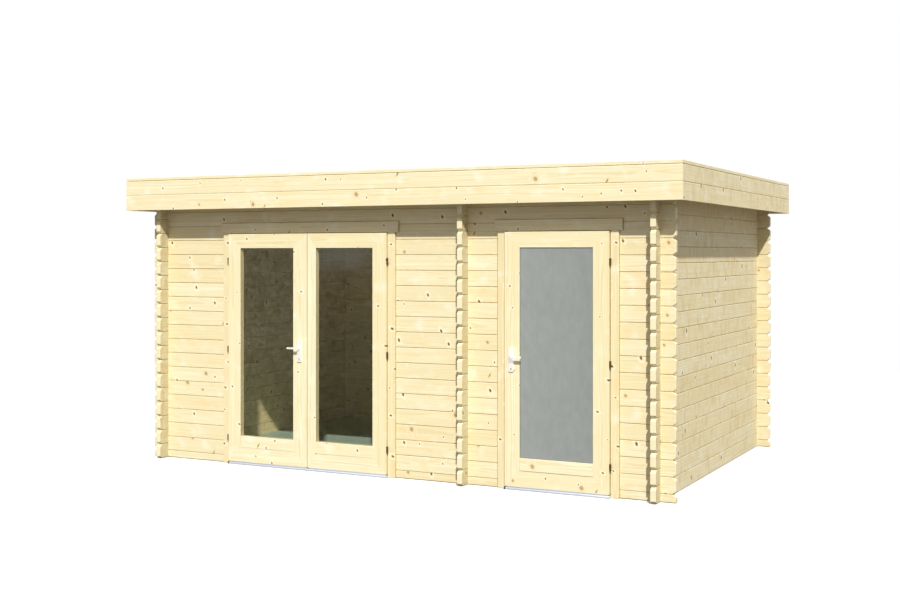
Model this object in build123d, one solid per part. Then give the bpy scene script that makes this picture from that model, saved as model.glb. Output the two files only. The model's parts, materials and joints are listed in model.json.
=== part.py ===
from build123d import *
import os

# A two-room log cabin with a flat roof, in millimetres: +X to the right along the
# front, +Y to the back and +Z up, with the origin on the ground at the plan's middle.

# Plan, measured to the outside faces of the walls
CABIN_WIDTH = 4200.0
CABIN_DEPTH = 2800.0
# How the front wall's length that the doors and the partition leave is shared out: left of
# the double door, from there to the partition, on to the single door, and right of that
WALL_RUN_SHARES = (0.346, 0.3175, 0.157, 0.1795)

# Logs
LOG_HEIGHT = 114.0
LOG_THICKNESS = 40.0
LOG_SEAM = 0.4
LOG_GROOVE = 4.0
LOG_END_REACH = 105.0
LOG_END_CUT_LENGTH = 25.0
LOG_END_CUT_HEIGHT = 19.0
NOTCH_CLEARANCE = 0.4
SIDE_COURSES = 19
COURSES_BESIDE_DOORS = 16
COURSES_OVER_DOORS = 2

# Roof
EAVES_REACH = 216.0
FASCIA_THICKNESS = 18.0
FASCIA_BOARD_HEIGHT = 122.0
FASCIA_GROOVE = 3.0
DECK_THICKNESS = 19.0
FELT_THICKNESS = 3.0
PURLIN_COUNT = 3
PURLIN_WIDTH = 44.0
PURLIN_HEIGHT = 95.0
BATTEN_WIDTH = 40.0
UPSTAND_HEIGHT = 71.0
CAP_WIDTH = 62.0
CAP_THICKNESS = 16.0
CAP_MITRE_GAP = 0.6

# Floor
FLOOR_THICKNESS = 20.0
FLOOR_CLEARANCE = 0.5

# Door frames
HEAD_HEIGHT = 57.0
JAMB_WEB = 30.0
JAMB_TRIM_WIDTH = 57.0
JAMB_TRIM_PROUD = 22.0
GROOVE_CLEARANCE = 0.4
STOP_WIDTH = 18.0
HEAD_TRIM_OVERRUN = 25.0
HEAD_TRIM_HEIGHT = 80.0
HEAD_TRIM_PROUD = 18.0
SILL_HEIGHT = 18.0
SILL_NOSING = 7.0
SILL_REACH = 46.0

# Door leaves
LEAF_GAP = 6.0
MEETING_GAP = 8.0
LEFT_LEAF_WIDTH = 736.5
RIGHT_LEAF_WIDTH = 689.5
SINGLE_LEAF_WIDTH = 776.0
LEAF_THICKNESS = 45.0
LEAF_PROUD = 40.0
STILE_WIDTH = 115.0
LEFT_MEETING_STILE = 124.0
RIGHT_MEETING_STILE = 74.0
TOP_RAIL_HEIGHT = 111.0
BOTTOM_RAIL_HEIGHT = 111.0
KICK_PANEL_HEIGHT = 93.0
KICK_PANEL_RECESS = 1.5
GLASS_SETBACK = 7.0
GLASS_THICKNESS = 6.0
GLAZING_REBATE = 12.0
GLASS_CLEARANCE = 0.3

# Hinges
HINGE_HEIGHT = 46.0
HINGE_PLACE_SHARES = (0.1027, 0.493, 0.883)
HINGE_AXIS_PROUD = 12.0
HINGE_AXIS_ASIDE = 2.5
KNUCKLE_RADIUS = 6.5
KNUCKLE_GAP = 0.6
HINGE_PLATE_THICKNESS = 2.0
HINGE_PLATE_DEPTH = 38.0

# Handles
HANDLE_HEIGHT = 936.5
HANDLE_PLATE_WIDTH = 38.0
HANDLE_PLATE_HEIGHT = 168.0
HANDLE_PLATE_THICKNESS = 8.0
HANDLE_PLATE_CORNER = 9.0
HANDLE_PLATE_DROP = 22.5
LEFT_HANDLE_INSET = 65.0
SINGLE_HANDLE_INSET = 52.0
LEVER_LENGTH = 91.0
LEVER_HEIGHT = 13.5
LEVER_THICKNESS = 13.0
LEVER_STANDOFF = 38.5
LEVER_BEND = 16.0
LEVER_CLEARANCE = 0.5
SPINDLE_WIDTH = 8.0
SPINDLE_SEAT = 12.0
SPINDLE_CLEARANCE = 0.6
SPINDLE_MORTISE = 15.0

# One overrun serves every through cut
CUT_OVERRUN = 5.0

# Heights worked out from the courses
HALF_LOG = LOG_HEIGHT / 2
WALL_TOP = SIDE_COURSES * LOG_HEIGHT
OPENING_TOP = HALF_LOG + COURSES_BESIDE_DOORS * LOG_HEIGHT
FRONT_TOP = OPENING_TOP + COURSES_OVER_DOORS * LOG_HEIGHT
DECK_TOP = WALL_TOP + DECK_THICKNESS
FASCIA_TOP = DECK_TOP + UPSTAND_HEIGHT
PURLIN_BOTTOM = WALL_TOP - PURLIN_HEIGHT
HEAD_BOTTOM = OPENING_TOP - HEAD_HEIGHT
LEAF_TOP = HEAD_BOTTOM - LEAF_GAP
LEAF_BOTTOM = SILL_HEIGHT + LEAF_GAP
RAIL_TOP = LEAF_BOTTOM + BOTTOM_RAIL_HEIGHT
KICK_TOP = RAIL_TOP + KICK_PANEL_HEIGHT
GLASS_TOP = LEAF_TOP - TOP_RAIL_HEIGHT

# Places in plan
WALL_X = CABIN_WIDTH / 2
WALL_Y = CABIN_DEPTH / 2
LEFT_WALL_X = -WALL_X + LOG_THICKNESS / 2
RIGHT_WALL_X = WALL_X - LOG_THICKNESS / 2
FRONT_WALL_Y = -WALL_Y + LOG_THICKNESS / 2
BACK_WALL_Y = WALL_Y - LOG_THICKNESS / 2
LOG_END_X = WALL_X + LOG_END_REACH
LOG_END_Y = WALL_Y + LOG_END_REACH
ROOF_X = WALL_X + EAVES_REACH
ROOF_Y = WALL_Y + EAVES_REACH
DECK_X = ROOF_X - FASCIA_THICKNESS
DECK_Y = ROOF_Y - FASCIA_THICKNESS
BATTEN_X = DECK_X - BATTEN_WIDTH
BATTEN_Y = DECK_Y - BATTEN_WIDTH

# Depths through the front wall
WALL_OUTSIDE = -WALL_Y
WALL_INSIDE = WALL_OUTSIDE + LOG_THICKNESS
TRIM_OUTSIDE = WALL_OUTSIDE - JAMB_TRIM_PROUD
TRIM_INSIDE = WALL_INSIDE + JAMB_TRIM_PROUD
LEAF_FRONT = WALL_OUTSIDE - LEAF_PROUD
LEAF_BACK = LEAF_FRONT + LEAF_THICKNESS
STOP_FACE = LEAF_BACK + LEAF_GAP
GLASS_FRONT = LEAF_FRONT + GLASS_SETBACK
GLASS_BACK = GLASS_FRONT + GLASS_THICKNESS
HINGE_AXIS_Y = TRIM_OUTSIDE - HINGE_AXIS_PROUD

# Along the front wall: door leaves as spans along X, the partition's middle and the doorways
DOUBLE_DOOR_WIDTH = LEFT_LEAF_WIDTH + MEETING_GAP + RIGHT_LEAF_WIDTH
FREE_WALL = CABIN_WIDTH - DOUBLE_DOOR_WIDTH - SINGLE_LEAF_WIDTH - LOG_THICKNESS
WALL_RUNS = [share * FREE_WALL for share in WALL_RUN_SHARES]
LEFT_LEAF_START = -WALL_X + WALL_RUNS[0]
LEFT_LEAF = (LEFT_LEAF_START, LEFT_LEAF_START + LEFT_LEAF_WIDTH)
RIGHT_LEAF_START = LEFT_LEAF[1] + MEETING_GAP
RIGHT_LEAF = (RIGHT_LEAF_START, RIGHT_LEAF_START + RIGHT_LEAF_WIDTH)
PARTITION_X = RIGHT_LEAF[1] + WALL_RUNS[1] + LOG_THICKNESS / 2
SINGLE_LEAF_START = PARTITION_X + LOG_THICKNESS / 2 + WALL_RUNS[2]
SINGLE_LEAF = (SINGLE_LEAF_START, SINGLE_LEAF_START + SINGLE_LEAF_WIDTH)
DOUBLE_DOORWAY = (LEFT_LEAF[0] - LEAF_GAP, RIGHT_LEAF[1] + LEAF_GAP)
SINGLE_DOORWAY = (SINGLE_LEAF[0] - LEAF_GAP, SINGLE_LEAF[1] + LEAF_GAP)


def block(x, y, z):
    """Make a solid that fills the span given along each axis."""
    spans = (x, y, z)
    middle = [(low + high) / 2 for low, high in spans]
    size = [high - low for low, high in spans]
    return Pos(*middle) * Box(*size)


def prism_along_x(points, start, end):
    """Extrude an outline drawn in Y and Z from start to end along X."""
    return extrude(Plane.YZ.offset(start) * Polygon(*points, align=None), amount=end - start)


def prism_up(points, bottom, top):
    """Extrude an outline drawn in X and Y from bottom to top."""
    return extrude(Plane.XY.offset(bottom) * Polygon(*points, align=None), amount=top - bottom)


def log_side(start, end, bottom, top, notches, pockets, shaped, foot):
    """Draw a log's long side in X and Z: shaped ends, notches below and pockets above."""
    shaped_start, shaped_end = shaped
    middle = bottom + HALF_LOG
    points = []
    if shaped_start and not foot:
        points += [(start, bottom + LOG_END_CUT_HEIGHT), (start + LOG_END_CUT_LENGTH, bottom)]
    else:
        points += [(start, bottom)]
    for place in notches:
        near = place - LOG_THICKNESS / 2 - NOTCH_CLEARANCE
        far = place + LOG_THICKNESS / 2 + NOTCH_CLEARANCE
        points += [(near, bottom), (near, middle), (far, middle), (far, bottom)]
    if shaped_end and not foot:
        points += [(end - LOG_END_CUT_LENGTH, bottom), (end, bottom + LOG_END_CUT_HEIGHT)]
    else:
        points += [(end, bottom)]
    if shaped_end:
        points += [(end, top - LOG_END_CUT_HEIGHT), (end - LOG_END_CUT_LENGTH, top)]
    else:
        points += [(end, top)]
    for place in reversed(pockets):
        near = place - PURLIN_WIDTH / 2 - NOTCH_CLEARANCE
        far = place + PURLIN_WIDTH / 2 + NOTCH_CLEARANCE
        points += [(far, top), (far, PURLIN_BOTTOM), (near, PURLIN_BOTTOM), (near, top)]
    if shaped_start:
        points += [(start + LOG_END_CUT_LENGTH, top), (start, top - LOG_END_CUT_HEIGHT)]
    else:
        points += [(start, top)]
    return points


def log(start, end, bottom, height=LOG_HEIGHT, notches=(), pockets=(), shaped=(True, True), foot=False):
    """Make one log along X, with its upper edges bevelled into the groove between courses."""
    top = bottom + height - LOG_SEAM
    half = LOG_THICKNESS / 2
    side = Polygon(*log_side(start, end, bottom, top, notches, pockets, shaped, foot), align=None)
    section = [
        (-half, bottom),
        (half, bottom),
        (half, top - LOG_GROOVE),
        (half - LOG_GROOVE, top),
        (-half + LOG_GROOVE, top),
        (-half, top - LOG_GROOVE),
    ]
    return extrude(Plane.XZ * side, amount=half, both=True) & prism_along_x(section, start, end)


def lengthwise_wall(wall_y, start, end, courses, crossings, shaped=(True, True), first_course=0):
    """Stack logs along X: the first course stands on a half log, so that it meets the side
    walls half a log out of step and each log locks over the one that crosses below it."""
    place = Pos(0, wall_y, 0)
    logs = []
    if first_course == 0:
        logs.append(place * log(start, end, 0, HALF_LOG, shaped=shaped, foot=True))
    for course in range(first_course, first_course + courses):
        bottom = HALF_LOG + course * LOG_HEIGHT
        logs.append(place * log(start, end, bottom, notches=crossings, shaped=shaped))
    return logs


def crosswise_wall(wall_x):
    """Stack logs along Y from the ground, the top one with pockets for the purlins."""
    turn = Pos(wall_x, 0, 0) * Rot(0, 0, 90)
    crossings = (FRONT_WALL_Y, BACK_WALL_Y)
    logs = []
    for course in range(SIDE_COURSES):
        pockets = purlin_places() if course == SIDE_COURSES - 1 else ()
        bottom = course * LOG_HEIGHT
        logs.append(turn * log(-LOG_END_Y, LOG_END_Y, bottom, notches=crossings, pockets=pockets))
    return logs


def purlin_places():
    """Space the purlins evenly between the front and back walls."""
    spacing = (BACK_WALL_Y - FRONT_WALL_Y) / (PURLIN_COUNT + 1)
    return [FRONT_WALL_Y + spacing * (index + 1) for index in range(PURLIN_COUNT)]


def log_walls():
    """Make every wall, the front one split beside and over its two doorways."""
    left_end = DOUBLE_DOORWAY[0] - JAMB_WEB - GROOVE_CLEARANCE
    middle_start = DOUBLE_DOORWAY[1] + JAMB_WEB + GROOVE_CLEARANCE
    middle_end = SINGLE_DOORWAY[0] - JAMB_WEB - GROOVE_CLEARANCE
    right_start = SINGLE_DOORWAY[1] + JAMB_WEB + GROOVE_CLEARANCE
    crossings = (LEFT_WALL_X, PARTITION_X, RIGHT_WALL_X)
    beside = COURSES_BESIDE_DOORS
    return {
        "front_wall_left_logs": lengthwise_wall(
            FRONT_WALL_Y, -LOG_END_X, left_end, beside, crossings[:1], (True, False)
        ),
        "front_wall_middle_logs": lengthwise_wall(
            FRONT_WALL_Y, middle_start, middle_end, beside, crossings[1:2], (False, False)
        ),
        "front_wall_right_logs": lengthwise_wall(
            FRONT_WALL_Y, right_start, LOG_END_X, beside, crossings[2:], (False, True)
        ),
        "front_wall_top_logs": lengthwise_wall(
            FRONT_WALL_Y, -LOG_END_X, LOG_END_X, COURSES_OVER_DOORS, crossings, first_course=beside
        ),
        "back_wall_logs": lengthwise_wall(
            BACK_WALL_Y, -LOG_END_X, LOG_END_X, beside + COURSES_OVER_DOORS, crossings
        ),
        "left_wall_logs": crosswise_wall(LEFT_WALL_X),
        "right_wall_logs": crosswise_wall(RIGHT_WALL_X),
        "partition_logs": crosswise_wall(PARTITION_X),
    }


def wall_plates():
    """Make the half logs that bring the front and back walls level with the side walls."""
    half = LOG_THICKNESS / 2 + NOTCH_CLEARANCE
    rooms = ((LEFT_WALL_X + half, PARTITION_X - half), (PARTITION_X + half, RIGHT_WALL_X - half))
    height = WALL_TOP - FRONT_TOP
    plates = []
    for wall_y in (FRONT_WALL_Y, BACK_WALL_Y):
        for start, end in rooms:
            plates.append(
                Pos(0, wall_y, 0) * log(start, end, FRONT_TOP, height, shaped=(False, False), foot=True)
            )
    return plates


def edge_bars(bottom, top):
    """Make four bars just inside the roof's edge, the side ones between the long ones."""
    span = (bottom, top)
    side_y = (-BATTEN_Y + LOG_SEAM, BATTEN_Y - LOG_SEAM)
    return [
        block((-DECK_X, DECK_X), (-DECK_Y, -BATTEN_Y), span),
        block((-DECK_X, DECK_X), (BATTEN_Y, DECK_Y), span),
        block((-DECK_X, -BATTEN_X), side_y, span),
        block((BATTEN_X, DECK_X), side_y, span),
    ]


def fascia_boards(length):
    """Make two fascia boards along X, one over the other, with their outer face at Y = 0."""
    boards = []
    for index in range(2):
        top = FASCIA_TOP - index * FASCIA_BOARD_HEIGHT
        bottom = top - FASCIA_BOARD_HEIGHT + LOG_SEAM
        outline = [
            (0, bottom + FASCIA_GROOVE),
            (FASCIA_GROOVE, bottom),
            (FASCIA_THICKNESS, bottom),
            (FASCIA_THICKNESS, top),
            (FASCIA_GROOVE, top),
            (0, top - FASCIA_GROOVE),
        ]
        boards.append(prism_along_x(outline, -length / 2, length / 2))
    return boards


def fascias():
    """Set two boards on each side of the roof, the side ones between the front and back ones."""
    turns = {"front": 0, "right": 90, "back": 180, "left": 270}
    nodes = {}
    for side, angle in turns.items():
        across = side in ("left", "right")
        length = 2 * DECK_Y if across else 2 * ROOF_X
        reach = ROOF_X if across else ROOF_Y
        turn = Rot(0, 0, angle) * Pos(0, -reach, 0)
        nodes[side + "_fascia"] = [turn * board for board in fascia_boards(length)]
    return nodes


def cap_trims():
    """Make the four mitred trims that cover the fascia's top edge."""
    trims = []
    for angle in (0, 90, 180, 270):
        across = angle in (90, 270)
        half = (ROOF_Y if across else ROOF_X) - CAP_MITRE_GAP
        reach = ROOF_X if across else ROOF_Y
        outline = [
            (-half, -reach),
            (half, -reach),
            (half - CAP_WIDTH, -reach + CAP_WIDTH),
            (-half + CAP_WIDTH, -reach + CAP_WIDTH),
        ]
        trims.append(Rot(0, 0, angle) * prism_up(outline, FASCIA_TOP, FASCIA_TOP + CAP_THICKNESS))
    return trims


def roof():
    """Make the purlins, the deck with its edge battens and felt, and the fascia round it."""
    nodes = fascias()
    purlin_span = (PURLIN_BOTTOM, WALL_TOP)
    nodes["roof_purlins"] = [
        block((-BATTEN_X, BATTEN_X), (place - PURLIN_WIDTH / 2, place + PURLIN_WIDTH / 2), purlin_span)
        for place in purlin_places()
    ]
    nodes["roof_deck"] = [block((-DECK_X, DECK_X), (-DECK_Y, DECK_Y), (WALL_TOP, DECK_TOP))]
    nodes["roof_felt"] = [
        block((-BATTEN_X, BATTEN_X), (-BATTEN_Y, BATTEN_Y), (DECK_TOP, DECK_TOP + FELT_THICKNESS))
    ]
    nodes["roof_edge_battens"] = edge_bars(PURLIN_BOTTOM, WALL_TOP) + edge_bars(DECK_TOP, FASCIA_TOP)
    nodes["roof_cap_trims"] = cap_trims()
    return nodes


def floor_panels():
    """Make a floor in each room, cut round the door frames that stand on the ground."""
    back = WALL_Y - LOG_THICKNESS - FLOOR_CLEARANCE
    front = WALL_INSIDE + FLOOR_CLEARANCE
    inset = LOG_THICKNESS / 2 + FLOOR_CLEARANCE
    rooms = ((LEFT_WALL_X + inset, PARTITION_X - inset), (PARTITION_X + inset, RIGHT_WALL_X - inset))
    panels = []
    for room, doorway in zip(rooms, (DOUBLE_DOORWAY, SINGLE_DOORWAY)):
        panel = block(room, (front, back), (0, FLOOR_THICKNESS))
        cut_y = (front - CUT_OVERRUN, TRIM_INSIDE + FLOOR_CLEARANCE)
        cut_z = (-CUT_OVERRUN, FLOOR_THICKNESS + CUT_OVERRUN)
        outer = JAMB_TRIM_WIDTH + FLOOR_CLEARANCE
        inner = STOP_WIDTH + FLOOR_CLEARANCE
        panel -= block((doorway[0] - outer, doorway[0] + inner), cut_y, cut_z)
        panel -= block((doorway[1] - inner, doorway[1] + outer), cut_y, cut_z)
        panels.append(panel)
    return panels


def jamb():
    """Make a left jamb with its doorway face at X = 0: a groove that takes the log ends, a trim
    on each side of the wall and a stop behind the leaf."""
    groove = -JAMB_WEB
    outer = WALL_OUTSIDE - GROOVE_CLEARANCE
    inner = WALL_INSIDE + GROOVE_CLEARANCE
    outline = [
        (0, TRIM_OUTSIDE),
        (0, STOP_FACE),
        (STOP_WIDTH, STOP_FACE),
        (STOP_WIDTH, TRIM_INSIDE),
        (-JAMB_TRIM_WIDTH, TRIM_INSIDE),
        (-JAMB_TRIM_WIDTH, inner),
        (groove, inner),
        (groove, outer),
        (-JAMB_TRIM_WIDTH, outer),
        (-JAMB_TRIM_WIDTH, TRIM_OUTSIDE),
    ]
    return prism_up(outline, 0, HEAD_BOTTOM)


def sill(doorway):
    """Make the metal threshold between the jambs, with its front edge bevelled."""
    start, end = doorway
    front = WALL_OUTSIDE - SILL_REACH
    outline = [
        (start, front),
        (end, front),
        (end, STOP_FACE),
        (end - STOP_WIDTH, STOP_FACE),
        (end - STOP_WIDTH, WALL_INSIDE),
        (start + STOP_WIDTH, WALL_INSIDE),
        (start + STOP_WIDTH, STOP_FACE),
        (start, STOP_FACE),
    ]
    strip = prism_up(outline, 0, SILL_HEIGHT)
    nose = strip.edges().filter_by(Axis.X).group_by(Axis.Z)[-1].sort_by(Axis.Y)[0]
    return chamfer(nose, SILL_NOSING)


def jambs(doorway):
    """Set a jamb on each side of a doorway."""
    start, end = doorway
    return [Pos(start, 0, 0) * jamb(), Pos(end, 0, 0) * mirror(jamb(), about=Plane.YZ)]


def head(doorway):
    """Make the piece that closes the wall over a doorway, with its stop behind the leaf."""
    start, end = doorway
    web = (start - JAMB_WEB, end + JAMB_WEB)
    stop = (start + STOP_WIDTH, end - STOP_WIDTH)
    piece = block(web, (WALL_OUTSIDE, WALL_INSIDE), (HEAD_BOTTOM, OPENING_TOP))
    return piece + block(stop, (STOP_FACE, WALL_INSIDE), (HEAD_BOTTOM - STOP_WIDTH, HEAD_BOTTOM))


def head_trims(doorway):
    """Make the boards over a doorway, outside and inside, which run past the jambs' trims."""
    start, end = doorway
    reach = JAMB_TRIM_WIDTH + HEAD_TRIM_OVERRUN
    trim_x = (start - reach, end + reach)
    trim_z = (HEAD_BOTTOM, HEAD_BOTTOM + HEAD_TRIM_HEIGHT)
    return [
        block(trim_x, (WALL_OUTSIDE - HEAD_TRIM_PROUD, WALL_OUTSIDE), trim_z),
        block(trim_x, (WALL_INSIDE, WALL_INSIDE + JAMB_TRIM_PROUD), trim_z),
    ]


def knuckle_outline(plate_start, leaf_side):
    """Draw a hinge knuckle in plan round its axis, with an arm to the plate that stands in the gap
    beside the leaf. plate_start is how far the plate lies from the axis."""
    reach = plate_start + HINGE_PLATE_THICKNESS
    plate_x = leaf_side * (plate_start + reach) / 2
    plate = Pos(plate_x, HINGE_PLATE_DEPTH / 2) * Rectangle(HINGE_PLATE_THICKNESS, HINGE_PLATE_DEPTH)
    arm_y = HINGE_PLATE_THICKNESS / 2
    arm = Pos(leaf_side * reach / 2, arm_y) * Rectangle(reach, HINGE_PLATE_THICKNESS)
    return Circle(KNUCKLE_RADIUS) + arm + plate


def hinge(jamb_x, leaf_side):
    """Make the frame half and the leaf half of one lift-off hinge, with its middle at Z = 0.

    jamb_x is the jamb's doorway face, and its knuckles stand in front of the jamb's trim.
    leaf_side is 1 where the leaf lies to the right of the jamb, and -1 to the left."""
    half = HINGE_HEIGHT / 2
    axis = Pos(jamb_x - leaf_side * HINGE_AXIS_ASIDE, HINGE_AXIS_Y, 0)
    frame_plate = HINGE_AXIS_ASIDE
    leaf_plate = HINGE_AXIS_ASIDE + LEAF_GAP - HINGE_PLATE_THICKNESS
    frame_half = extrude(Pos(0, 0, -half) * knuckle_outline(frame_plate, leaf_side), amount=half)
    leaf_half = extrude(Pos(0, 0, KNUCKLE_GAP) * knuckle_outline(leaf_plate, leaf_side), amount=half)
    return axis * frame_half, axis * leaf_half


def hinges(jamb_x, leaf_side):
    """Make every hinge of one leaf, as a list of frame halves and one of leaf halves."""
    frame_half, leaf_half = hinge(jamb_x, leaf_side)
    leaf_height = LEAF_TOP - LEAF_BOTTOM
    places = [Pos(0, 0, LEAF_BOTTOM + share * leaf_height) for share in HINGE_PLACE_SHARES]
    return [place * frame_half for place in places], [place * leaf_half for place in places]


def leaf(name, span, start_stile, end_stile):
    """Make one glazed leaf: frame, kick panel, pane and the bead that holds the pane."""
    start, end = span
    sight = (start + start_stile, end - end_stile)
    rebate = (sight[0] - GLAZING_REBATE, sight[1] + GLAZING_REBATE)
    through = (LEAF_FRONT - CUT_OVERRUN, LEAF_BACK + CUT_OVERRUN)
    rebate_y = (GLASS_FRONT, LEAF_BACK + CUT_OVERRUN)
    rebate_z = (KICK_TOP - GLAZING_REBATE, GLASS_TOP + GLAZING_REBATE)
    frame = block(span, (LEAF_FRONT, LEAF_BACK), (LEAF_BOTTOM, LEAF_TOP))
    frame -= block(sight, through, (RAIL_TOP, GLASS_TOP))
    frame -= block(rebate, rebate_y, rebate_z)
    kick = block(sight, (LEAF_FRONT + KICK_PANEL_RECESS, LEAF_BACK), (RAIL_TOP, KICK_TOP))
    kick -= block(rebate, rebate_y, rebate_z)
    pane_x = (rebate[0] + GLASS_CLEARANCE, rebate[1] - GLASS_CLEARANCE)
    pane_z = (rebate_z[0] + GLASS_CLEARANCE, rebate_z[1] - GLASS_CLEARANCE)
    bead = block(pane_x, (GLASS_BACK, LEAF_BACK), pane_z)
    bead -= block(sight, through, (KICK_TOP, GLASS_TOP))
    return {
        name + "_frame": [frame],
        name + "_kick_panel": [kick],
        name + "_glass": [block(pane_x, (GLASS_FRONT, GLASS_BACK), pane_z)],
        name + "_glazing_bead": [bead],
    }


def handle_plate():
    """Make a plate with rounded corners, standing in X and Z round the lever's axis, its back at Y = 0."""
    outline = RectangleRounded(HANDLE_PLATE_WIDTH, HANDLE_PLATE_HEIGHT, HANDLE_PLATE_CORNER)
    outline = Pos(0, -HANDLE_PLATE_DROP) * outline
    outline -= Circle(SPINDLE_WIDTH / 2**0.5 + SPINDLE_CLEARANCE)
    return extrude(Plane.XZ * outline, amount=HANDLE_PLATE_THICKNESS)


def lever_grip(point):
    """Bend a flat bar from the plate's face forwards and then along X, the way that point gives."""
    path = FilletPolyline(
        (0, -HANDLE_PLATE_THICKNESS - LEVER_CLEARANCE),
        (0, -LEVER_STANDOFF),
        (point * LEVER_LENGTH, -LEVER_STANDOFF),
        radius=LEVER_BEND,
    )
    bar = trace(path, line_width=LEVER_THICKNESS)
    return extrude(Pos(0, 0, -LEVER_HEIGHT / 2) * bar, amount=LEVER_HEIGHT)


def handle(name, axis_x, point):
    """Make the plates and the lever of one handle; point is 1 or -1, the way the lever points."""
    front = Pos(axis_x, LEAF_FRONT, HANDLE_HEIGHT)
    back = Pos(axis_x, LEAF_BACK, HANDLE_HEIGHT) * Rot(0, 0, 180)
    half = SPINDLE_WIDTH / 2
    reach = HANDLE_PLATE_THICKNESS + SPINDLE_SEAT
    spindle = block(
        (axis_x - half, axis_x + half),
        (LEAF_FRONT - reach, LEAF_BACK + reach),
        (HANDLE_HEIGHT - half, HANDLE_HEIGHT + half),
    )
    lever = front * lever_grip(point) + spindle + back * lever_grip(-point)
    return {
        name + "_handle_plates": [front * handle_plate(), back * handle_plate()],
        name + "_lever": [lever],
    }


def spindle_mortise(axis_x):
    """Make the hole through a stile that the lever's spindle turns in."""
    half = SPINDLE_MORTISE / 2
    return block(
        (axis_x - half, axis_x + half),
        (LEAF_FRONT - CUT_OVERRUN, LEAF_BACK + CUT_OVERRUN),
        (HANDLE_HEIGHT - half, HANDLE_HEIGHT + half),
    )


def doors():
    """Make both doorways' frames with their leaves, hinges and handles."""
    doorways = {"double_door": DOUBLE_DOORWAY, "single_door": SINGLE_DOORWAY}
    nodes = {
        "door_heads": [head(doorway) for doorway in doorways.values()],
        "door_sills": [sill(doorway) for doorway in doorways.values()],
    }
    for name, doorway in doorways.items():
        nodes[name + "_jambs"] = jambs(doorway)
        nodes[name + "_head_trims"] = head_trims(doorway)
    nodes |= leaf("left_leaf", LEFT_LEAF, STILE_WIDTH, LEFT_MEETING_STILE)
    nodes |= leaf("right_leaf", RIGHT_LEAF, RIGHT_MEETING_STILE, STILE_WIDTH)
    nodes |= leaf("single_leaf", SINGLE_LEAF, STILE_WIDTH, STILE_WIDTH)
    left_fixed, nodes["left_leaf_hinges"] = hinges(DOUBLE_DOORWAY[0], 1)
    right_fixed, nodes["right_leaf_hinges"] = hinges(DOUBLE_DOORWAY[1], -1)
    single_fixed, nodes["single_leaf_hinges"] = hinges(SINGLE_DOORWAY[1], -1)
    nodes["frame_hinges"] = left_fixed + right_fixed + single_fixed
    handles = {
        "left_leaf": (LEFT_LEAF[1] - LEFT_HANDLE_INSET, -1),
        "single_leaf": (SINGLE_LEAF[0] + SINGLE_HANDLE_INSET, 1),
    }
    for name, (axis_x, point) in handles.items():
        nodes |= handle(name, axis_x, point)
        nodes[name + "_frame"] = [nodes[name + "_frame"][0] - spindle_mortise(axis_x)]
    return nodes


def cabin():
    """Gather every sub-part as a list of solids under its node's name."""
    nodes = log_walls()
    nodes["wall_plates"] = wall_plates()
    nodes["floor_panels"] = floor_panels()
    return nodes | roof() | doors()


def main():
    os.makedirs("parts", exist_ok=True)
    for name, shapes in cabin().items():
        solids = [solid for shape in shapes for solid in shape.solids()]
        export_step(Compound(solids), os.path.join("parts", name + ".step"))


main()
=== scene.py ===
"""Looks of a flat-roofed log garden room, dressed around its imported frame."""

import json
import logging
import math
import random
from collections.abc import Iterable, Sequence
from dataclasses import dataclass, field, replace
from enum import Enum
from typing import Any

import bmesh
import bpy
from bmesh.types import BMEdge, BMesh, BMFace, BMVert
from bpy.types import Material, Node, NodeSocket, NodeTree, Scene
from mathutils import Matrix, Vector

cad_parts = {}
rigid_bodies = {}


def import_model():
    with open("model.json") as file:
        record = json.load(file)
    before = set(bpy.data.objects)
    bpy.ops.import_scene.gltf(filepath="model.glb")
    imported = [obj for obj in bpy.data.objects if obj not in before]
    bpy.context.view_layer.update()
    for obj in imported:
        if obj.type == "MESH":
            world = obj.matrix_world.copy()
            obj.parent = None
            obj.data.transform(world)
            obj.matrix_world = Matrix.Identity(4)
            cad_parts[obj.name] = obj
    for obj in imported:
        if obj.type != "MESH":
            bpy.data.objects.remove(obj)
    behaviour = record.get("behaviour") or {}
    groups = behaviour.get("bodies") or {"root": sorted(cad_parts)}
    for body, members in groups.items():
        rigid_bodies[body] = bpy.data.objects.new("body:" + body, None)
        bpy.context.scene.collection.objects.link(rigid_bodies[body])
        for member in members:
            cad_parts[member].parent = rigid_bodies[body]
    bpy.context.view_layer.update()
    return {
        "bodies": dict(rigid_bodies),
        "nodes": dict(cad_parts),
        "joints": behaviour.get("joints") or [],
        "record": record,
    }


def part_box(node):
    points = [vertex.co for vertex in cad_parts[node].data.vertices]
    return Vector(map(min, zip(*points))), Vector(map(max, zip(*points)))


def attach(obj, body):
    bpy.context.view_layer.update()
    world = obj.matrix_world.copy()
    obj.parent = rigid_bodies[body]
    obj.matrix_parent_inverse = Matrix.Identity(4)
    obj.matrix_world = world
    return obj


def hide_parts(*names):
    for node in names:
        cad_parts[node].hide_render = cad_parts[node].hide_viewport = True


LOG = logging.getLogger("garden_room")
MM = 0.001
WELD = 0.01 * MM
SEED = 4200
NEARLY_ZERO = 1e-4
# Edges flatter than the first are merged, and edges sharper than the second are eased.
FLAT_DEG, SHARP_DEG = 0.5, 28.0
# Round pieces are shaded smooth below the first angle, and hinges below the second.
ROUND_DEG, HINGE_DEG = 40.0, 30.0
HINGE_EASE_MM, HINGE_SHORTEST_MM = 0.6, 3.0
# Metres that lie outside every part.
FAR = 10.0
# Pieces that are laid on the solids stand this far off them.
CLEARANCE = 0.1 * MM
# A free log end starts this far past the walls' faces.
FREE_END = 3.0 * MM
# How dark a year's growth is from its start to its end.
YEAR_GREYS = ((0.0, 0.15), (0.12, 0.0), (0.5, 0.06), (0.93, 1.0))

Source = Node | NodeSocket
Cut = tuple[Vector, Vector]
Outline = list[tuple[float, float]]


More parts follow.
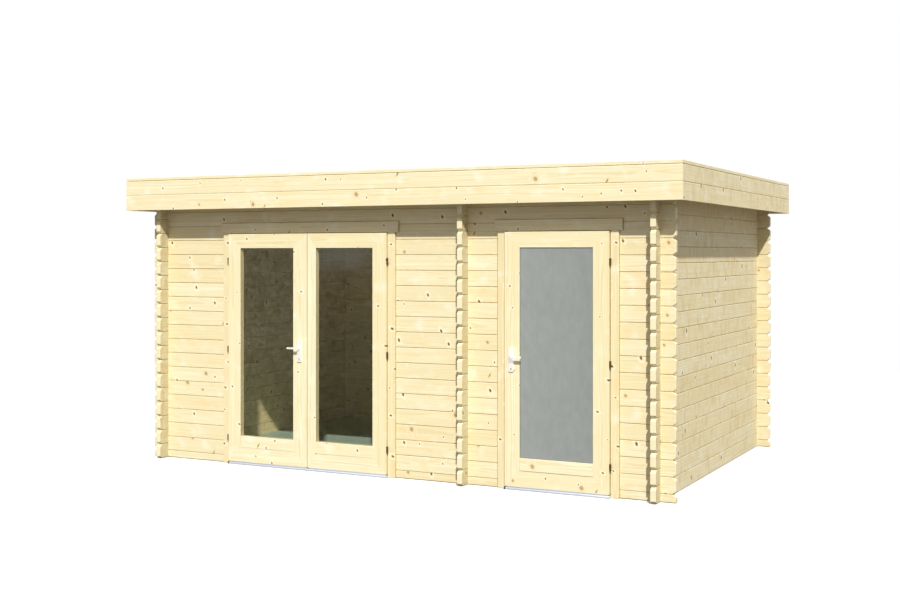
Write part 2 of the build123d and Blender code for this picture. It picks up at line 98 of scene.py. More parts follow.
def linear(code: str, alpha: float = 1.0) -> tuple[float, float, float, float]:
    """Turns an sRGB hex colour to linear light.

    Args:
        code: the colour as "#RRGGBB".
        alpha: the fourth number of the result.

    Returns:
        Red, green, blue and alpha.
    """
    parts = [int(code[i : i + 2], 16) / 255 for i in (1, 3, 5)]
    red, green, blue = [
        v / 12.92 if v <= 0.04045 else ((v + 0.055) / 1.055) ** 2.4 for v in parts
    ]
    return red, green, blue, alpha


def per_metre(sizes_mm: Sequence[float]) -> tuple[float, ...]:
    """Turns a pattern's sizes to its scale.

    Args:
        sizes_mm: its sizes along X, Y and Z. Two sizes are along X and across it.

    Returns:
        How often it repeats in a metre along X, Y and Z.
    """
    across = sizes_mm[-1]
    return tuple(1 / (size * MM) for size in (*sizes_mm, across)[:3])


def add_node(
    tree: NodeTree,
    kind: str,
    settings: dict[Any, Any] | None = None,
    links: dict[Any, Source] | None = None,
) -> Node:
    """Adds one node, sets its values and joins its inputs.

    Args:
        tree: the material's node tree.
        kind: the node's type, without its first word "ShaderNode".
        settings: values by property name (lower case) or by input (a number or a
            capitalised name). "ramp" takes a list of (place, colour).
        links: what feeds its inputs, as join takes it.

    Returns:
        The new node.
    """
    node = tree.nodes.new("ShaderNode" + kind)
    for key, value in (settings or {}).items():
        if key == "ramp":
            stops = node.color_ramp.elements
            while len(stops) < len(value):
                stops.new(1.0)
            for stop, (place, colour) in zip(stops, value):
                stop.position, stop.color = place, colour
        elif isinstance(key, int) or key[0].isupper():
            node.inputs[key].default_value = value
        else:
            setattr(node, key, value)
    join(node, links or {})
    return node


def join(node: Node, links: dict[Any, Source]) -> None:
    """Feeds a node's inputs.

    Args:
        node: the node.
        links: what feeds its inputs, by number or name: a socket, or a node for the
            first of its outputs that is in use.
    """
    for key, source in links.items():
        if isinstance(source, Node):
            source = next(socket for socket in source.outputs if socket.enabled)
        node.id_data.links.new(source, node.inputs[key])


def new_material(name: str) -> tuple[Material, Node]:
    """Makes an empty material.

    Args:
        name: the material's name.

    Returns:
        The material and its Principled shader.
    """
    material = bpy.data.materials.new(name)
    material.use_nodes = True
    return material, material.node_tree.nodes["Principled BSDF"]


def dress_shader(
    shader: Node,
    colour: Source,
    gloss: tuple[Source, float, float],
    relief: tuple[Source, float, float],
) -> None:
    """Gives a shader its colour, an uneven gloss and a relief.

    Args:
        shader: the Principled shader.
        colour: its colour.
        gloss: what its roughness follows, and the roughness where that is 0 and 1.
        relief: what its relief follows, its strength and its depth in millimetres.
    """
    tree = shader.id_data
    marks, at_zero, at_one = gloss
    rough = add_node(tree, "MapRange", {3: at_zero, 4: at_one}, {"Value": marks})
    height, strength, depth_mm = relief
    bump = add_node(tree, "Bump", {"Strength": strength, "Distance": depth_mm * MM}, {"Height": height})
    join(shader, {"Base Color": colour, "Roughness": rough, "Normal": bump})


class Glazing(Enum):
    """The kinds of pane in the doors."""

    CLEAR = "clear_glass"
    FROSTED = "frosted_glass"


@dataclass(frozen=True)
class Knot:
    """One kind of knot: how it is strewn over a face, its size and its rings of colour.

    A ring is a distance from the knot's middle in radii, a colour and how well it covers.
    """

    cell_mm: float
    radii_mm: tuple[float, float]
    share: float
    slant: float
    stretch: float
    rings: tuple[tuple[float, str, float], ...]
    reach: float = 4.0

    def distance(self, tree: NodeTree, face: Source) -> Source:
        """Strews the knots over a timber's wide face.

        Args:
            tree: the material's node tree.
            face: place on the face, along the fibres and across them.

        Returns:
            Distance from the nearest knot's middle, in knot radii.
        """
        turned = add_node(
            tree, "VectorRotate", {"rotation_type": "Z_AXIS", "Angle": self.slant}, {"Vector": face}
        )
        drawn = add_node(
            tree, "VectorMath", {"operation": "MULTIPLY", 1: (1 / self.stretch, 1.0, 1.0)}, {0: turned}
        )
        cells = add_node(
            tree,
            "TexVoronoi",
            {"voronoi_dimensions": "2D", "Scale": 1 / (self.cell_mm * MM), "Randomness": 0.9},
            {"Vector": drawn},
        )
        draw = add_node(tree, "SeparateColor", links={"Color": cells.outputs["Color"]})
        radius = add_node(
            tree,
            "MapRange",
            {3: self.radii_mm[0] / self.cell_mm, 4: self.radii_mm[1] / self.cell_mm},
            {"Value": draw.outputs["Red"]},
        )
        here = add_node(
            tree, "Math", {"operation": "LESS_THAN", 1: self.share}, {0: draw.outputs["Green"]}
        )
        size = add_node(
            tree, "Math", {"operation": "MULTIPLY_ADD", 2: NEARLY_ZERO}, {0: radius, 1: here}
        )
        return add_node(tree, "Math", {"operation": "DIVIDE"}, {0: cells.outputs["Distance"], 1: size})

    def look(self, tree: NodeTree, distance: Source) -> Node:
        """Rings a knot with colour.

        Args:
            tree: the material's node tree.
            distance: distance from its middle, in radii.

        Returns:
            The ramp that gives its colour and how well that covers.
        """
        within = add_node(tree, "Math", {"operation": "MULTIPLY", 1: 1 / self.reach}, {0: distance})
        stops = [(place / self.reach, linear(code, cover)) for place, code, cover in self.rings]
        return add_node(tree, "ValToRGB", {"ramp": stops}, {0: within})


# Live knots are rusty rings, spikes are knots cut along, dead knots dark plugs with a pale collar.
LIVE_KNOT = Knot(
    cell_mm=380.0,
    radii_mm=(7.0, 13.0),
    share=0.42,
    slant=0.9,
    stretch=1.25,
    rings=(
        (0.0, "#9A7642", 0.8),
        (0.56, "#B48E52", 0.75),
        (0.88, "#86632F", 0.8),
        (1.16, "#DDBE84", 0.5),
        (2.8, "#EBD49C", 0.0),
    ),
)
SPIKE_KNOT = Knot(
    cell_mm=290.0,
    radii_mm=(3.6, 6.4),
    share=0.36,
    slant=-1.05,
    stretch=3.2,
    rings=(
        (0.0, "#7C5E30", 0.9),
        (0.64, "#94723C", 0.85),
        (1.04, "#D6B67A", 0.45),
        (2.2, "#EBD49C", 0.0),
    ),
)
DEAD_KNOT = Knot(
    cell_mm=118.0,
    radii_mm=(3.4, 7.5),
    share=0.2,
    slant=1.15,
    stretch=1.6,
    rings=(
        (0.0, "#54401F", 1.0),
        (0.68, "#66502A", 1.0),
        (1.0, "#987741", 0.85),
        (1.32, "#DDBF87", 0.5),
        (2.0, "#FBF5DC", 0.5),
        (4.0, "#FBF5DC", 0.0),
    ),
)


@dataclass(frozen=True)
class Spruce:
    """Unpainted spruce: growth rings in the solid, fibre streaks, small and large knots.

    Planing leaves a matt, faintly silky face. The eye gets a pale cream wood that
    changes tone from piece to piece, with scattered dark knots. Sizes of its marks
    are along the fibres and across them.
    """

    name: str
    pale: str = "#F1EAC6"
    honey: str = "#ECDDAF"
    latewood: str = "#D8C38F"
    streak: str = "#DCC793"
    rust: str = "#EDCF96"
    bleached: str = "#F8F4DF"
    end_grain: str = "#EBE0B9"
    roughness: float = 0.58
    knot_share: float = 0.2
    knot_mm: tuple[float, float] = (3.4, 7.5)
    branch_share: float = 0.42
    swell_mm: tuple[float, float] = (7.0, 16.0)
    ring_mm: float = 6.0
    ring_share: float = 0.5
    wander_mm: tuple[float, float] = (769.23, 66.667)
    drift_mm: float = 18.0
    patch_mm: tuple[float, float] = (909.09, 58.824)
    patch_share: float = 0.9
    streak_mm: tuple[float, float] = (555.556, 7.0)
    streak_share: float = 0.48
    fleck_mm: tuple[float, float] = (181.818, 41.667)
    fleck_share: float = 0.75
    spot_mm: tuple[float, float] = (125.0, 90.909)
    spot_share: float = 0.42
    saw_mm: tuple[float, float] = (60.0, 142.857)
    saw_share: float = 0.0
    end_share: float = 0.7
    relief_mm: float = 0.4

    def bend(self, tree: NodeTree, grain: Source) -> Source:
        """Lets the pith wander a few millimetres along a log, since stems are never straight.

        Args:
            tree: the material's node tree.
            grain: place in the stem.

        Returns:
            The place from the wandering pith.
        """
        slow = add_node(
            tree, "VectorMath", {"operation": "MULTIPLY", 1: per_metre(self.wander_mm)}, {0: grain}
        )
        wander = add_node(tree, "TexNoise", {"Scale": 1.0, "Detail": 2.0}, {"Vector": slow})
        wide = self.drift_mm * MM
        drift = add_node(
            tree,
            "VectorMath",
            {"operation": "MULTIPLY_ADD", 1: (0.0, wide, wide), 2: (0.0, -wide / 2, -wide / 2)},
            {0: wander.outputs["Color"]},
        )
        return add_node(tree, "VectorMath", {"operation": "ADD"}, {0: grain, 1: drift})

    def latewood_rings(self, tree: NodeTree, bent: Source, knots: Sequence[Source]) -> Source:
        """Draws the dark part of each year's ring, which bends round the knots.

        Args:
            tree: the material's node tree.
            bent: place from the pith.
            knots: distances from dead and from live knots, in radii.

        Returns:
            1 at the end of a year's growth and 0 at its start.
        """
        across = add_node(tree, "VectorMath", {"operation": "MULTIPLY", 1: (0.0, 1.0, 1.0)}, {0: bent})
        radius = add_node(tree, "VectorMath", {"operation": "LENGTH"}, {0: across}).outputs["Value"]
        for distance, height_mm in zip(knots, self.swell_mm):
            swell = add_node(
                tree, "MapRange", {1: 0.6, 2: 4.0, 3: height_mm * MM, 4: 0.0}, {"Value": distance}
            )
            radius = add_node(tree, "Math", {"operation": "ADD"}, {0: radius, 1: swell})
        # Rings are 2 to 4 mm in such timber; drawn wider so that they show at this size.
        rings = add_node(
            tree, "Math", {"operation": "MULTIPLY", 1: 1 / (self.ring_mm * MM)}, {0: radius}
        )
        year = add_node(tree, "Math", {"operation": "FRACT"}, {0: rings})
        growth = [(place, (grey, grey, grey, 1.0)) for place, grey in YEAR_GREYS]
        return add_node(tree, "ValToRGB", {"ramp": growth}, {0: year})

    def marks(self, tree: NodeTree, grain: Source, bent: Source) -> dict[str, Source]:
        """Makes the noises that fibres, planing and sawing leave.

        Band saws leave marks across the fibres, 3 to 8 mm apart; drawn wider so that they show.

        Args:
            tree: the material's node tree.
            grain: place in the stem.
            bent: place from the wandering pith.

        Returns:
            Each noise by its name.
        """
        found = {}
        for name, place, sizes_mm, settings in (
            ("streaks", bent, self.streak_mm, {"Detail": 3.0, "Roughness": 0.62}),
            ("patches", grain, self.patch_mm, {"Detail": 2.0}),
            ("flecks", bent, self.fleck_mm, {"Detail": 3.0, "Roughness": 0.55}),
            ("spots", grain, self.spot_mm, {"Detail": 1.0}),
            ("teeth", grain, self.saw_mm, {"Detail": 3.0, "Roughness": 0.6}),
        ):
            scaled = add_node(
                tree, "VectorMath", {"operation": "MULTIPLY", 1: per_metre(sizes_mm)}, {0: place}
            )
            found[name] = add_node(tree, "TexNoise", {"Scale": 1.0, **settings}, {"Vector": scaled})
        return found

    def shade_free_ends(
        self,
        tree: NodeTree,
        colour: Source,
        amount: Source,
        walls: tuple[float, float],
    ) -> Source:
        """Darkens the wide faces of the free log ends, which stand past the walls: a painted shade.

        Args:
            tree: the material's node tree.
            colour: the wood's colour.
            amount: how much painted shade darkens the piece's free ends.
            walls: how far the walls reach from the middle, along X and Y.

        Returns:
            The colour with its painted shade.
        """
        spot = add_node(tree, "TexCoord").outputs["Object"]
        past = add_node(tree, "VectorMath", {"operation": "ABSOLUTE"}, {0: spot})
        axes = add_node(tree, "SeparateXYZ", links={0: past})
        sides = [
            add_node(tree, "Math", {"operation": "GREATER_THAN", 1: reach}, {0: axes.outputs[i]})
            for i, reach in enumerate(walls)
        ]
        # Faces past either wall get the painted shade.
        free = add_node(tree, "Math", {"operation": "MAXIMUM"}, dict(enumerate(sides)))
        tan = add_node(tree, "Math", {"operation": "MULTIPLY"}, {0: free, 1: amount})
        left_over = add_node(tree, "Math", {"operation": "SUBTRACT", 0: 1.0}, {1: tan})
        return add_node(tree, "VectorMath", {"operation": "SCALE"}, {0: colour, "Scale": left_over})

    def material(self, walls: tuple[float, float]) -> Material:
        """Builds the wood from the timber's own grain coordinates.

        Args:
            walls: how far the walls reach from the middle, along X and Y.

        Returns:
            The material.
        """
        material, shader = new_material(self.name)
        tree = material.node_tree
        grain, timber = (
            add_node(tree, "Attribute", {"attribute_name": name}).outputs["Vector"]
            for name in ("grain", "timber")
        )
        # The timber attribute holds the tone, the painted shade of the free ends, and the end-grain
        # mark.
        tone, tan, sawn_end = add_node(tree, "SeparateXYZ", links={0: timber}).outputs
        side = add_node(tree, "Math", {"operation": "SUBTRACT", 0: 1.0}, {1: sawn_end})
        bent = self.bend(tree, grain)
        place = add_node(tree, "SeparateXYZ", links={0: bent})
        face = add_node(tree, "CombineXYZ", links={"X": place.outputs["X"], "Y": place.outputs["Z"]})
        dead = replace(DEAD_KNOT, radii_mm=self.knot_mm, share=self.knot_share)
        live = replace(LIVE_KNOT, share=self.branch_share)
        kinds = {knot: knot.distance(tree, face) for knot in (live, SPIKE_KNOT, dead)}
        late = self.latewood_rings(tree, bent, (kinds[dead], kinds[live]))
        marks = self.marks(tree, grain, bent)
        uneven = add_node(
            tree,
            "Math",
            {"operation": "MULTIPLY_ADD", 1: self.patch_share, 2: -self.patch_share / 2},
            {0: marks["patches"]},
        )
        warm = add_node(tree, "Math", {"operation": "ADD", "use_clamp": True}, {0: tone, 1: uneven})
        colour = add_node(
            tree, "Mix", {"data_type": "RGBA", 6: linear(self.pale), 7: linear(self.honey)}, {0: warm}
        )
        # Resin draws rusty flecks into the fibres, and hard planing bleaches soft spots.
        for source, start, full, share, tint in (
            (late, 0.0, 1.0, self.ring_share, self.latewood),
            (marks["streaks"], 0.32, 0.72, self.streak_share, self.streak),
            (marks["flecks"], 0.53, 0.76, self.fleck_share, self.rust),
            (marks["spots"], 0.58, 0.8, self.spot_share, self.bleached),
            (marks["teeth"], 0.48, 0.7, self.saw_share, self.latewood),
            (sawn_end, 0.0, 1.0, self.end_share, self.end_grain),
        ):
            mark = add_node(tree, "MapRange", {1: start, 2: full, 4: share}, {"Value": source})
            colour = add_node(tree, "Mix", {"data_type": "RGBA", 7: linear(tint)}, {0: mark, 6: colour})
        for knot, distance in kinds.items():
            look = knot.look(tree, distance)
            shown = add_node(
                tree, "Math", {"operation": "MULTIPLY"}, {0: look.outputs["Alpha"], 1: side}
            )
            colour = add_node(
                tree, "Mix", {"data_type": "RGBA"}, {0: shown, 6: colour, 7: look.outputs["Color"]}
            )
        # Painted shade on the free ends' faces along the fibres, none on their end grain.
        amount = add_node(tree, "Math", {"operation": "MULTIPLY"}, {0: side, 1: tan})
        relief = add_node(tree, "Math", {"operation": "ADD"}, {0: marks["streaks"], 1: late})
        dress_shader(
            shader,
            self.shade_free_ends(tree, colour, amount, walls),
            (late, self.roughness + 0.1, self.roughness - 0.08),
            (relief, 0.25, self.relief_mm),
        )
        shader.inputs["IOR"].default_value = 1.5
        shader.inputs["Specular IOR Level"].default_value = 0.3
        return material


@dataclass(frozen=True)
class ClearGlass:
    """Clear float glass, drawn on molten tin: dark inside, a faint mirror of the yard."""

    name: str = "float_glass_clear"
    tint: str = "#F8F7F1"
    ior: float = 1.5
    faces: float = 1.9
    wave_mm: tuple[float, float] = (333.333, 2.0)

    def material(self) -> Material:
        """Lets light through and mirrors more at a low angle.

        Returns:
            The material.
        """
        material, shader = new_material(self.name)
        tree = material.node_tree
        tree.nodes.remove(shader)
        place = add_node(tree, "TexCoord").outputs["Object"]
        # Float glass keeps a slow waviness that bends what it mirrors.
        length, height = (size * MM for size in self.wave_mm)
        wave = add_node(tree, "TexNoise", {"Scale": 1 / length, "Detail": 1.0}, {"Vector": place})
        ripple = add_node(tree, "Bump", {"Strength": 0.05, "Distance": height}, {"Height": wave})
        through = add_node(tree, "BsdfTransparent", {"Color": linear(self.tint)})
        mirror = add_node(tree, "BsdfAnisotropic", {"Roughness": 0.02}, {"Normal": ripple})
        share = add_node(tree, "Fresnel", {"IOR": self.ior}, {"Normal": ripple})
        # The side that light meets first mirrors for both faces of the pane, and the other for none.
        leaving = add_node(tree, "NewGeometry").outputs["Backfacing"]
        meeting = add_node(
            tree, "Math", {"operation": "MULTIPLY_ADD", 1: -self.faces, 2: self.faces}, {0: leaving}
        )
        mirrored = add_node(
            tree, "Math", {"operation": "MULTIPLY", "use_clamp": True}, {0: share, 1: meeting}
        )
        pane = add_node(tree, "MixShader", links={0: mirrored, 1: through, 2: mirror})
        join(tree.nodes["Material Output"], {"Surface": pane})
        return material


@dataclass(frozen=True)
class FrostedGlass:
    """Acid-etched glass: an even grey-white veil with no view through it."""

    name: str = "etched_glass"
    veil: str = "#A4A8A2"
    run: str = "#B0B4AF"
    roughness: float = 0.42
    pit_mm: float = 1.5
    pit_depth_mm: float = 0.1
    pool_mm: tuple[float, float, float] = (41.667, 41.667, 76.923)
    # Painted light and shade across the pane: its colour is scaled by the first at the left edge and by
    # the second at the right.
    depth: tuple[float, float] = (1.05, 0.92)

    def material(self, edges: tuple[float, float]) -> Material:
        """Makes a rough pane that is half veil, half light from behind.

        Args:
            edges: the pane's left and right edge.

        Returns:
            The material.
        """
        material, shader = new_material(self.name)
        tree = material.node_tree
        place = add_node(tree, "TexCoord").outputs["Object"]
        # The etch is finer than a tenth of a millimetre; drawn coarser so that it shows.
        pits = add_node(
            tree, "TexNoise", {"Scale": 1 / (self.pit_mm * MM), "Detail": 2.0}, {"Vector": place}
        )
        # The acid pools and runs as it bites, which leaves faint clouds, a little longer than wide.
        pools = add_node(
            tree, "VectorMath", {"operation": "MULTIPLY", 1: per_metre(self.pool_mm)}, {0: place}
        )
        clouds = add_node(
            tree, "TexNoise", {"Scale": 1.0, "Detail": 5.0, "Roughness": 0.62}, {"Vector": pools}
        )
        bite = add_node(tree, "MapRange", {1: 0.3, 2: 0.7}, {"Value": clouds})
        shade = add_node(
            tree, "Mix", {"data_type": "RGBA", 6: linear(self.veil), 7: linear(self.run)}, {0: bite}
        )
        # Painted light and shade: the veil is brightened a little at the left edge and darkened towards
        # the right.
        across = add_node(tree, "SeparateXYZ", links={0: place})
        thin = add_node(
            tree, "MapRange", dict(enumerate(edges + self.depth, 1)), {"Value": across.outputs["X"]}
        )
        veil_with_painted_shade = add_node(tree, "VectorMath", {"operation": "SCALE"}, {0: shade, "Scale": thin})
        gloss = (pits, self.roughness - 0.05, self.roughness + 0.08)
        dress_shader(shader, veil_with_painted_shade, gloss, (pits, 0.1, self.pit_depth_mm))
        shader.inputs["IOR"].default_value = 1.5
        shader.inputs["Transmission Weight"].default_value = 0.35
        return material


@dataclass(frozen=True)
class Metal:
    """A worked metal: one colour that wears into another, with fine marks along one way."""

    name: str
    colour: str
    worn: str
    roughness: float
    marks_mm: tuple[float, float, float]
    metallic: float = 1.0
    wear_mm: float = 33.333
    depth_mm: float = 0.05

    def material(self) -> Material:
        """Makes metal with streaked gloss and slightly uneven colour.

        Returns:
            The material.
        """
        material, shader = new_material(self.name)
        tree = material.node_tree
        place = add_node(tree, "TexCoord").outputs["Object"]
        lines = add_node(
            tree, "VectorMath", {"operation": "MULTIPLY", 1: per_metre(self.marks_mm)}, {0: place}
        )
        marks = add_node(tree, "TexNoise", {"Scale": 1.0, "Detail": 2.0}, {"Vector": lines})
        wear = add_node(
            tree, "TexNoise", {"Scale": 1 / (self.wear_mm * MM), "Detail": 3.0}, {"Vector": place}
        )
        shade = add_node(
            tree, "Mix", {"data_type": "RGBA", 6: linear(self.colour), 7: linear(self.worn)}, {0: wear}
        )
        gloss = (marks, self.roughness - 0.06, self.roughness + 0.1)
        dress_shader(shader, shade, gloss, (marks, 0.15, self.depth_mm))
        shader.inputs["Metallic"].default_value = self.metallic
        return material


@dataclass(frozen=True)
class Grit:
    """A matt skin with grains in it: slate on roofing felt, a grey floor panel, filled rubber."""

    name: str
    ground: str
    grains: str
    grain_mm: float
    blotch_mm: float
    roughness: float
    bite_mm: float

    def material(self) -> Material:
        """Speckles two colours over slow blotches, with a grainy relief.

        Returns:
            The material.
        """
        material, shader = new_material(self.name)
        tree = material.node_tree
        place = add_node(tree, "TexCoord").outputs["Object"]
        speck = add_node(tree, "TexVoronoi", {"Scale": 1 / (self.grain_mm * MM)}, {"Vector": place})
        chance = add_node(tree, "SeparateColor", links={"Color": speck.outputs["Color"]})
        blotch = add_node(
            tree, "TexNoise", {"Scale": 1 / (self.blotch_mm * MM), "Detail": 3.0}, {"Vector": place}
        )
        mixed = add_node(tree, "Math", {"operation": "MULTIPLY"}, {0: chance.outputs["Red"], 1: blotch})
        shade = add_node(
            tree,
            "Mix",
            {"data_type": "RGBA", 6: linear(self.ground), 7: linear(self.grains)},
            {0: mixed},
        )
        gloss = (blotch, self.roughness - 0.08, self.roughness + 0.08)
        dress_shader(shader, shade, gloss, (speck.outputs["Distance"], 0.5, self.bite_mm))
        shader.inputs["IOR"].default_value = 1.5
        return material


# Logs: profiled spruce from the moulder, planed on all sides, smooth and matt.
LOG_SPRUCE = Spruce("spruce_log_planed", knot_share=0.2, branch_share=0.6)
# Side walls and side fascias: the same wood left from the band saw, with upright marks and broad knots.
SAWN_SPRUCE = Spruce(
    "spruce_band_sawn",
    knot_share=0.09,
    knot_mm=(6.0, 10.0),
    branch_share=0.3,
    saw_share=0.7,
    roughness=0.66,
)
# Roof, trims and boards: the same wood, finer planed and a touch paler.
BOARD_SPRUCE = Spruce(
    "spruce_board_planed",
    pale="#F3ECC9",
    honey="#EDDFB1",
    rust="#EFD49D",
    knot_share=0.34,
    knot_mm=(2.8, 5.4),
    branch_share=0.2,
)
# Door timber: picked spruce, sanded, with small knots and a soft sheen.
DOOR_SPRUCE = Spruce(
    "spruce_door_sanded",
    pale="#F5F0CE",
    honey="#F0E4B5",
    rust="#EFD6A1",
    knot_share=0.38,
    knot_mm=(2.6, 5.4),
    branch_share=0.15,
    roughness=0.52,
)
# Jambs: narrow planed spruce, sawn from near the branches, so that knots crowd on it.
JAMB_SPRUCE = Spruce(
    "spruce_jamb_planed",
    knot_share=0.85,
    knot_mm=(3.4, 7.0),
    branch_share=0.9,
    ring_share=0.6,
    streak_share=0.7,
)
# Double door: float glass, clear, so that the dim room shows behind a faint mirror.
CLEAR_GLASS = ClearGlass()
# Single door: etched glass, grey-white, so that nothing shows behind it.
FROSTED_GLASS = FrostedGlass()
# Handles: aluminium, satin anodised silver, a bright soft sheen with barely seen draw lines.
HANDLE_METAL = Metal(
    "aluminium_satin_anodised",
    "#FCFCFF",
    "#EEEEF6",
    roughness=0.42,
    marks_mm=(0.6, 0.6, 14.0),
    metallic=0.8,
)
# Hinges: steel, bronzed brown, low sheen with rubbed edges.
HINGE_STEEL = Metal("steel_bronzed", "#54411F", "#6E5730", roughness=0.46, marks_mm=(3.0, 3.0, 3.0))
# Sills: extruded aluminium, clear anodised, with faint die lines along the bar.
SILL_METAL = Metal(
    "aluminium_extruded", "#CFD2DC", "#C2C6D1", roughness=0.4, marks_mm=(60.0, 1.2, 1.2), metallic=0.55
)
# Seals: extruded rubber, dull and near black, so that it draws a thin line round each pane. The same
# dark rubber makes the strips and plug of painted shade at the doorways.
SEAL_RUBBER = Grit(
    "rubber_extruded", "#3A362B", "#464236", grain_mm=2.0, blotch_mm=40.0, roughness=0.7, bite_mm=0.05
)
# Felt: bitumen sheet with grey-green slate grit, dull and speckled.
ROOF_FELT = Grit(
    "bitumen_felt_slate_grit",
    "#3F4446",
    "#7C8482",
    grain_mm=2.6,
    blotch_mm=160.0,
    roughness=0.9,
    bite_mm=0.8,
)
# Floor: coated board, rolled grey-green and matt.
FLOOR_PANEL = Grit(
    "floor_panel_grey_rolled",
    "#8FA59E",
    "#A9BDB6",
    grain_mm=3.0,
    blotch_mm=220.0,
    roughness=0.62,
    bite_mm=0.15,
)

FRAME: dict[str, Any] = {}


def packed(*names: str) -> BMesh:
    """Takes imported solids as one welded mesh.

    Args:
        names: the nodes.

    Returns:
        A mesh of their solids, each one a closed island.
    """
    mesh = bmesh.new()
    for name in names:
        mesh.from_mesh(FRAME["nodes"][name].data)
    bmesh.ops.remove_doubles(mesh, verts=mesh.verts, dist=WELD)
    return mesh


def islands(mesh: BMesh) -> list[list[BMFace]]:
    """Splits a mesh's faces into its closed pieces, lowest first.

    Args:
        mesh: the mesh.

    Returns:
        The faces of each piece.
    """
    seen: set[BMFace] = set()
    found: list[list[BMFace]] = []
    for start in mesh.faces:
        if start in seen:
            continue
        seen.add(start)
        queue, piece = [start], []
        while queue:
            face = queue.pop()
            piece.append(face)
            for edge in face.edges:
                for near in edge.link_faces:
                    if near not in seen:
                        seen.add(near)
                        queue.append(near)
        found.append(piece)

    def order(piece: list[BMFace]) -> tuple[float, ...]:
        """Rounded lowest corner, for the same order each run."""
        low, _ = span(piece)
        return round(low.z, 4), round(low.x, 4), round(low.y, 4)

    return sorted(found, key=order)


def span(faces: Iterable[BMFace]) -> tuple[Vector, Vector]:
    """Finds the box round some faces.

    Args:
        faces: the faces.

    Returns:
        Its lowest and highest corner.
    """
    places = [v.co for f in faces for v in f.verts]
    low = Vector([min(p[i] for p in places) for i in range(3)])
    high = Vector([max(p[i] for p in places) for i in range(3)])
    return low, high


def keep_between(mesh: BMesh, cuts: Sequence[Cut]) -> BMesh:
    """Saws a solid off at planes and closes the sawn faces.

    Args:
        mesh: the solid, which stays as it is.
        cuts: a point and an outward normal of each plane.

    Returns:
        What lies behind all the planes.
    """
    part = mesh.copy()
    for point, normal in cuts:
        geometry = part.verts[:] + part.edges[:] + part.faces[:]
        sawn = bmesh.ops.bisect_plane(
            part, geom=geometry, plane_co=point, plane_no=normal, clear_outer=True, dist=WELD
        )["geom_cut"]
        rim = [e for e in sawn if isinstance(e, BMEdge)]
        bmesh.ops.holes_fill(part, edges=rim, sides=0)
    return part


def gather(parts: Iterable[BMesh]) -> BMesh:
    """Puts several meshes into one.

    Args:
        parts: the meshes, which are used up.

    Returns:
        The one mesh.
    """
    whole = bmesh.new()
    for part in parts:
        carrier = bpy.data.meshes.new("carrier")
        part.to_mesh(carrier)
        part.free()
        whole.from_mesh(carrier)
        bpy.data.meshes.remove(carrier)
    return whole


def ring(low: Vector, high: Vector, section: Outline) -> BMesh:
    """Sweeps a section round an upright rectangle, mitred at its corners.

    Args:
        low: the rectangle's lower left corner.
        high: its upper right corner.
        section: places inwards from the rectangle and along Y.

    Returns:
        The closed ring.
    """
    mesh = bmesh.new()
    corners = (
        (low.x, low.z, 1, 1),
        (high.x, low.z, -1, 1),
        (high.x, high.z, -1, -1),
        (low.x, high.z, 1, -1),
    )
    rows = [
        [mesh.verts.new((x + dx * d, y, z + dz * d)) for d, y in section] for x, z, dx, dz in corners
    ]
    for near, far in zip(rows, rows[1:] + rows[:1]):
        for i in range(len(section)):
            mesh.faces.new((near[i - 1], near[i], far[i], far[i - 1]))
    return mesh


def bar(start: float, end: float, section: Outline, along: int = 0) -> BMesh:
    """Draws a bar along X or Y.

    Args:
        start: its one end.
        end: its other end.
        section: places along the other level axis and Z.
        along: 0 for X, 1 for Y.

    Returns:
        The closed bar.
    """
    mesh = bmesh.new()
    near, far = [
        [mesh.verts.new((end_at, side, z) if along == 0 else (side, end_at, z)) for side, z in section]
        for end_at in (start, end)
    ]
    for i in range(len(section)):
        mesh.faces.new((near[i - 1], near[i], far[i], far[i - 1]))
    mesh.faces.new(near[::-1])
    mesh.faces.new(far)
    return mesh


def ease_edges(mesh: BMesh, width_mm: float, steps: int, shortest_mm: float = 8.0) -> None:
    """Takes the sharpness off outer edges.

    Args:
        mesh: the mesh, with flat faces merged here.
        width_mm: how far each edge is taken back.
        steps: facets of the easing.
        shortest_mm: edges shorter than this stay as they are.
    """
    flat, blunt = math.radians(FLAT_DEG), math.radians(SHARP_DEG)
    bmesh.ops.dissolve_limit(mesh, angle_limit=flat, verts=mesh.verts, edges=mesh.edges)
    sharp = [
        e
        for e in mesh.edges
        if e.is_manifold
        and e.is_convex
        and e.calc_face_angle() > blunt
        and e.calc_length() > shortest_mm * MM
    ]
    bmesh.ops.bevel(
        mesh,
        geom=sharp,
        offset=width_mm * MM,
        offset_type="OFFSET",
        segments=steps,
        profile=0.5,
        affect="EDGES",
        clamp_overlap=True,
    )


